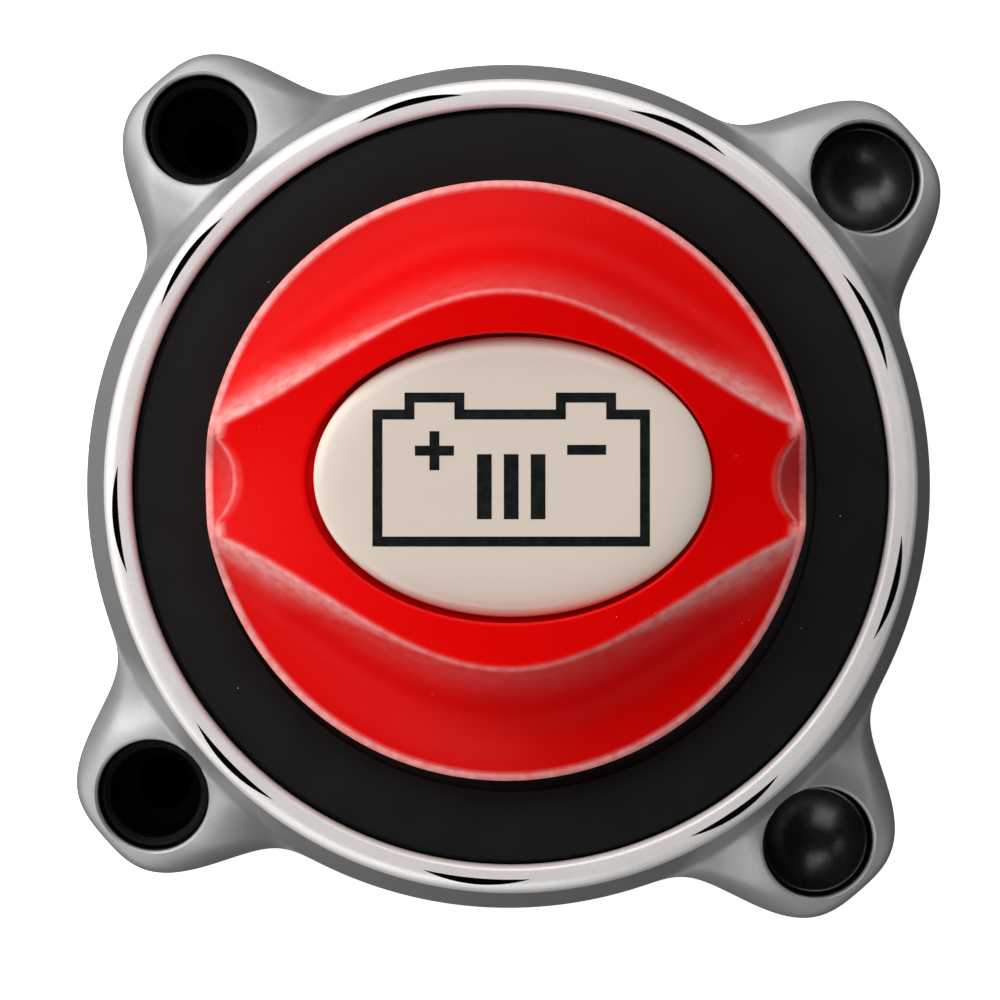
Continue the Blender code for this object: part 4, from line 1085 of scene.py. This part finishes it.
def add_camera():
    """Long lens straight in front, rolled and leaning a little, level with the bezel's crest."""
    right = Vector((math.cos(ROLL), math.sin(ROLL), 0))
    up = Vector((-math.sin(ROLL), math.cos(ROLL), 0))
    front = Vector((0, 0, 1))
    back = front * math.cos(LEAN) - right * math.sin(LEAN)
    across = right * math.cos(LEAN) + front * math.sin(LEAN)
    target = front * BEZEL_CREST - right * 1.345 - up * 1.652
    data = bpy.data.cameras.new("camera")
    data.sensor_width = 36
    data.lens = data.sensor_width * DISTANCE / FRAME_WIDTH
    data.clip_start, data.clip_end = 0.01, 20
    camera = bpy.data.objects.new("camera", data)
    bpy.context.scene.collection.objects.link(camera)
    rotation = Matrix((across, up, back)).transposed().to_4x4()
    camera.matrix_world = Matrix.Translation((target + back * DISTANCE) * MM) @ rotation
    bpy.context.scene.camera = camera


def add_light(name, azimuth, elevation, distance, size, power, tint=(1, 1, 1)):
    """Square softbox aimed at the switch; azimuth 0 lies along +X and 90 along +Y."""
    a, e = math.radians(azimuth), math.radians(elevation)
    towards = Vector((math.cos(a) * math.cos(e), math.sin(a) * math.cos(e), math.sin(e)))
    data = bpy.data.lights.new(name, "AREA")
    data.shape = "RECTANGLE"
    data.size, data.size_y = size
    data.energy = power
    data.color = tint
    light = bpy.data.objects.new(name, data)
    light.location = towards * distance + Vector((0, 0, BEZEL_CREST * MM))
    light.rotation_euler = towards.to_track_quat("Z", "Y").to_euler()
    bpy.context.scene.collection.objects.link(light)


def add_lights():
    add_light("key", 158, 38, 1.2, (0.8, 0.8), 7.2, (1.0, 0.985, 0.97))
    add_light("top", 100, 50, 1.2, (0.8, 0.8), 5.5)
    add_light("low", -100, 42, 1.2, (0.7, 0.7), 3.6)
    add_tent()


def add_tent():
    """World like a light tent: a bright band above the horizon, strongest at the upper left."""
    world = bpy.data.worlds.new("tent")
    world.use_nodes = True
    tree = world.node_tree
    direction = tree.nodes.new("ShaderNodeTexCoord").outputs["Generated"]

    def product(vector):
        node = tree.nodes.new("ShaderNodeVectorMath")
        node.operation = "DOT_PRODUCT"
        tree.links.new(direction, node.inputs[0])
        node.inputs[1].default_value = vector
        return node.outputs["Value"]

    def ramp(value, low, high, to_low, to_high):
        node = tree.nodes.new("ShaderNodeMapRange")
        node.interpolation_type = "SMOOTHSTEP"
        tree.links.new(value, node.inputs["Value"])
        levels = (low, high, to_low, to_high)
        for socket, level in zip(("From Min", "From Max", "To Min", "To Max"), levels):
            node.inputs[socket].default_value = level
        return node.outputs["Result"]

    def multiply(a, b):
        node = tree.nodes.new("ShaderNodeMath")
        node.operation = "MULTIPLY"
        tree.links.new(a, node.inputs[0])
        tree.links.new(b, node.inputs[1])
        return node.outputs[0]

    height = product((0, 0, 1))
    band = multiply(ramp(height, -0.05, 0.1, 0.0, 1.0), ramp(height, 0.2, 0.5, 1.0, 0.02))
    bright = math.radians(150)
    side = ramp(product((math.cos(bright), math.sin(bright), 0)), -1.0, 1.0, 0.8, 3.0)
    background = tree.nodes["Background"]
    background.inputs["Color"].default_value = (1.0, 0.985, 0.975, 1)
    tree.links.new(multiply(band, side), background.inputs["Strength"])
    bpy.context.scene.world = world


build_bezel()
build_label_ring()
build_knob()
build_knob_label()
build_battery_symbol()
build_housing()
build_rear_cover()
build_hardware()
for node, obj in frame["nodes"].items():
    slot = next(p["material_slot"] for p in frame["record"]["subparts"] if p["node"] == node)
    obj.data.materials.clear()
    obj.data.materials.append(M[slot])
add_floor()
add_camera()
add_lights()
bpy.context.scene.view_settings.view_transform = "Standard"
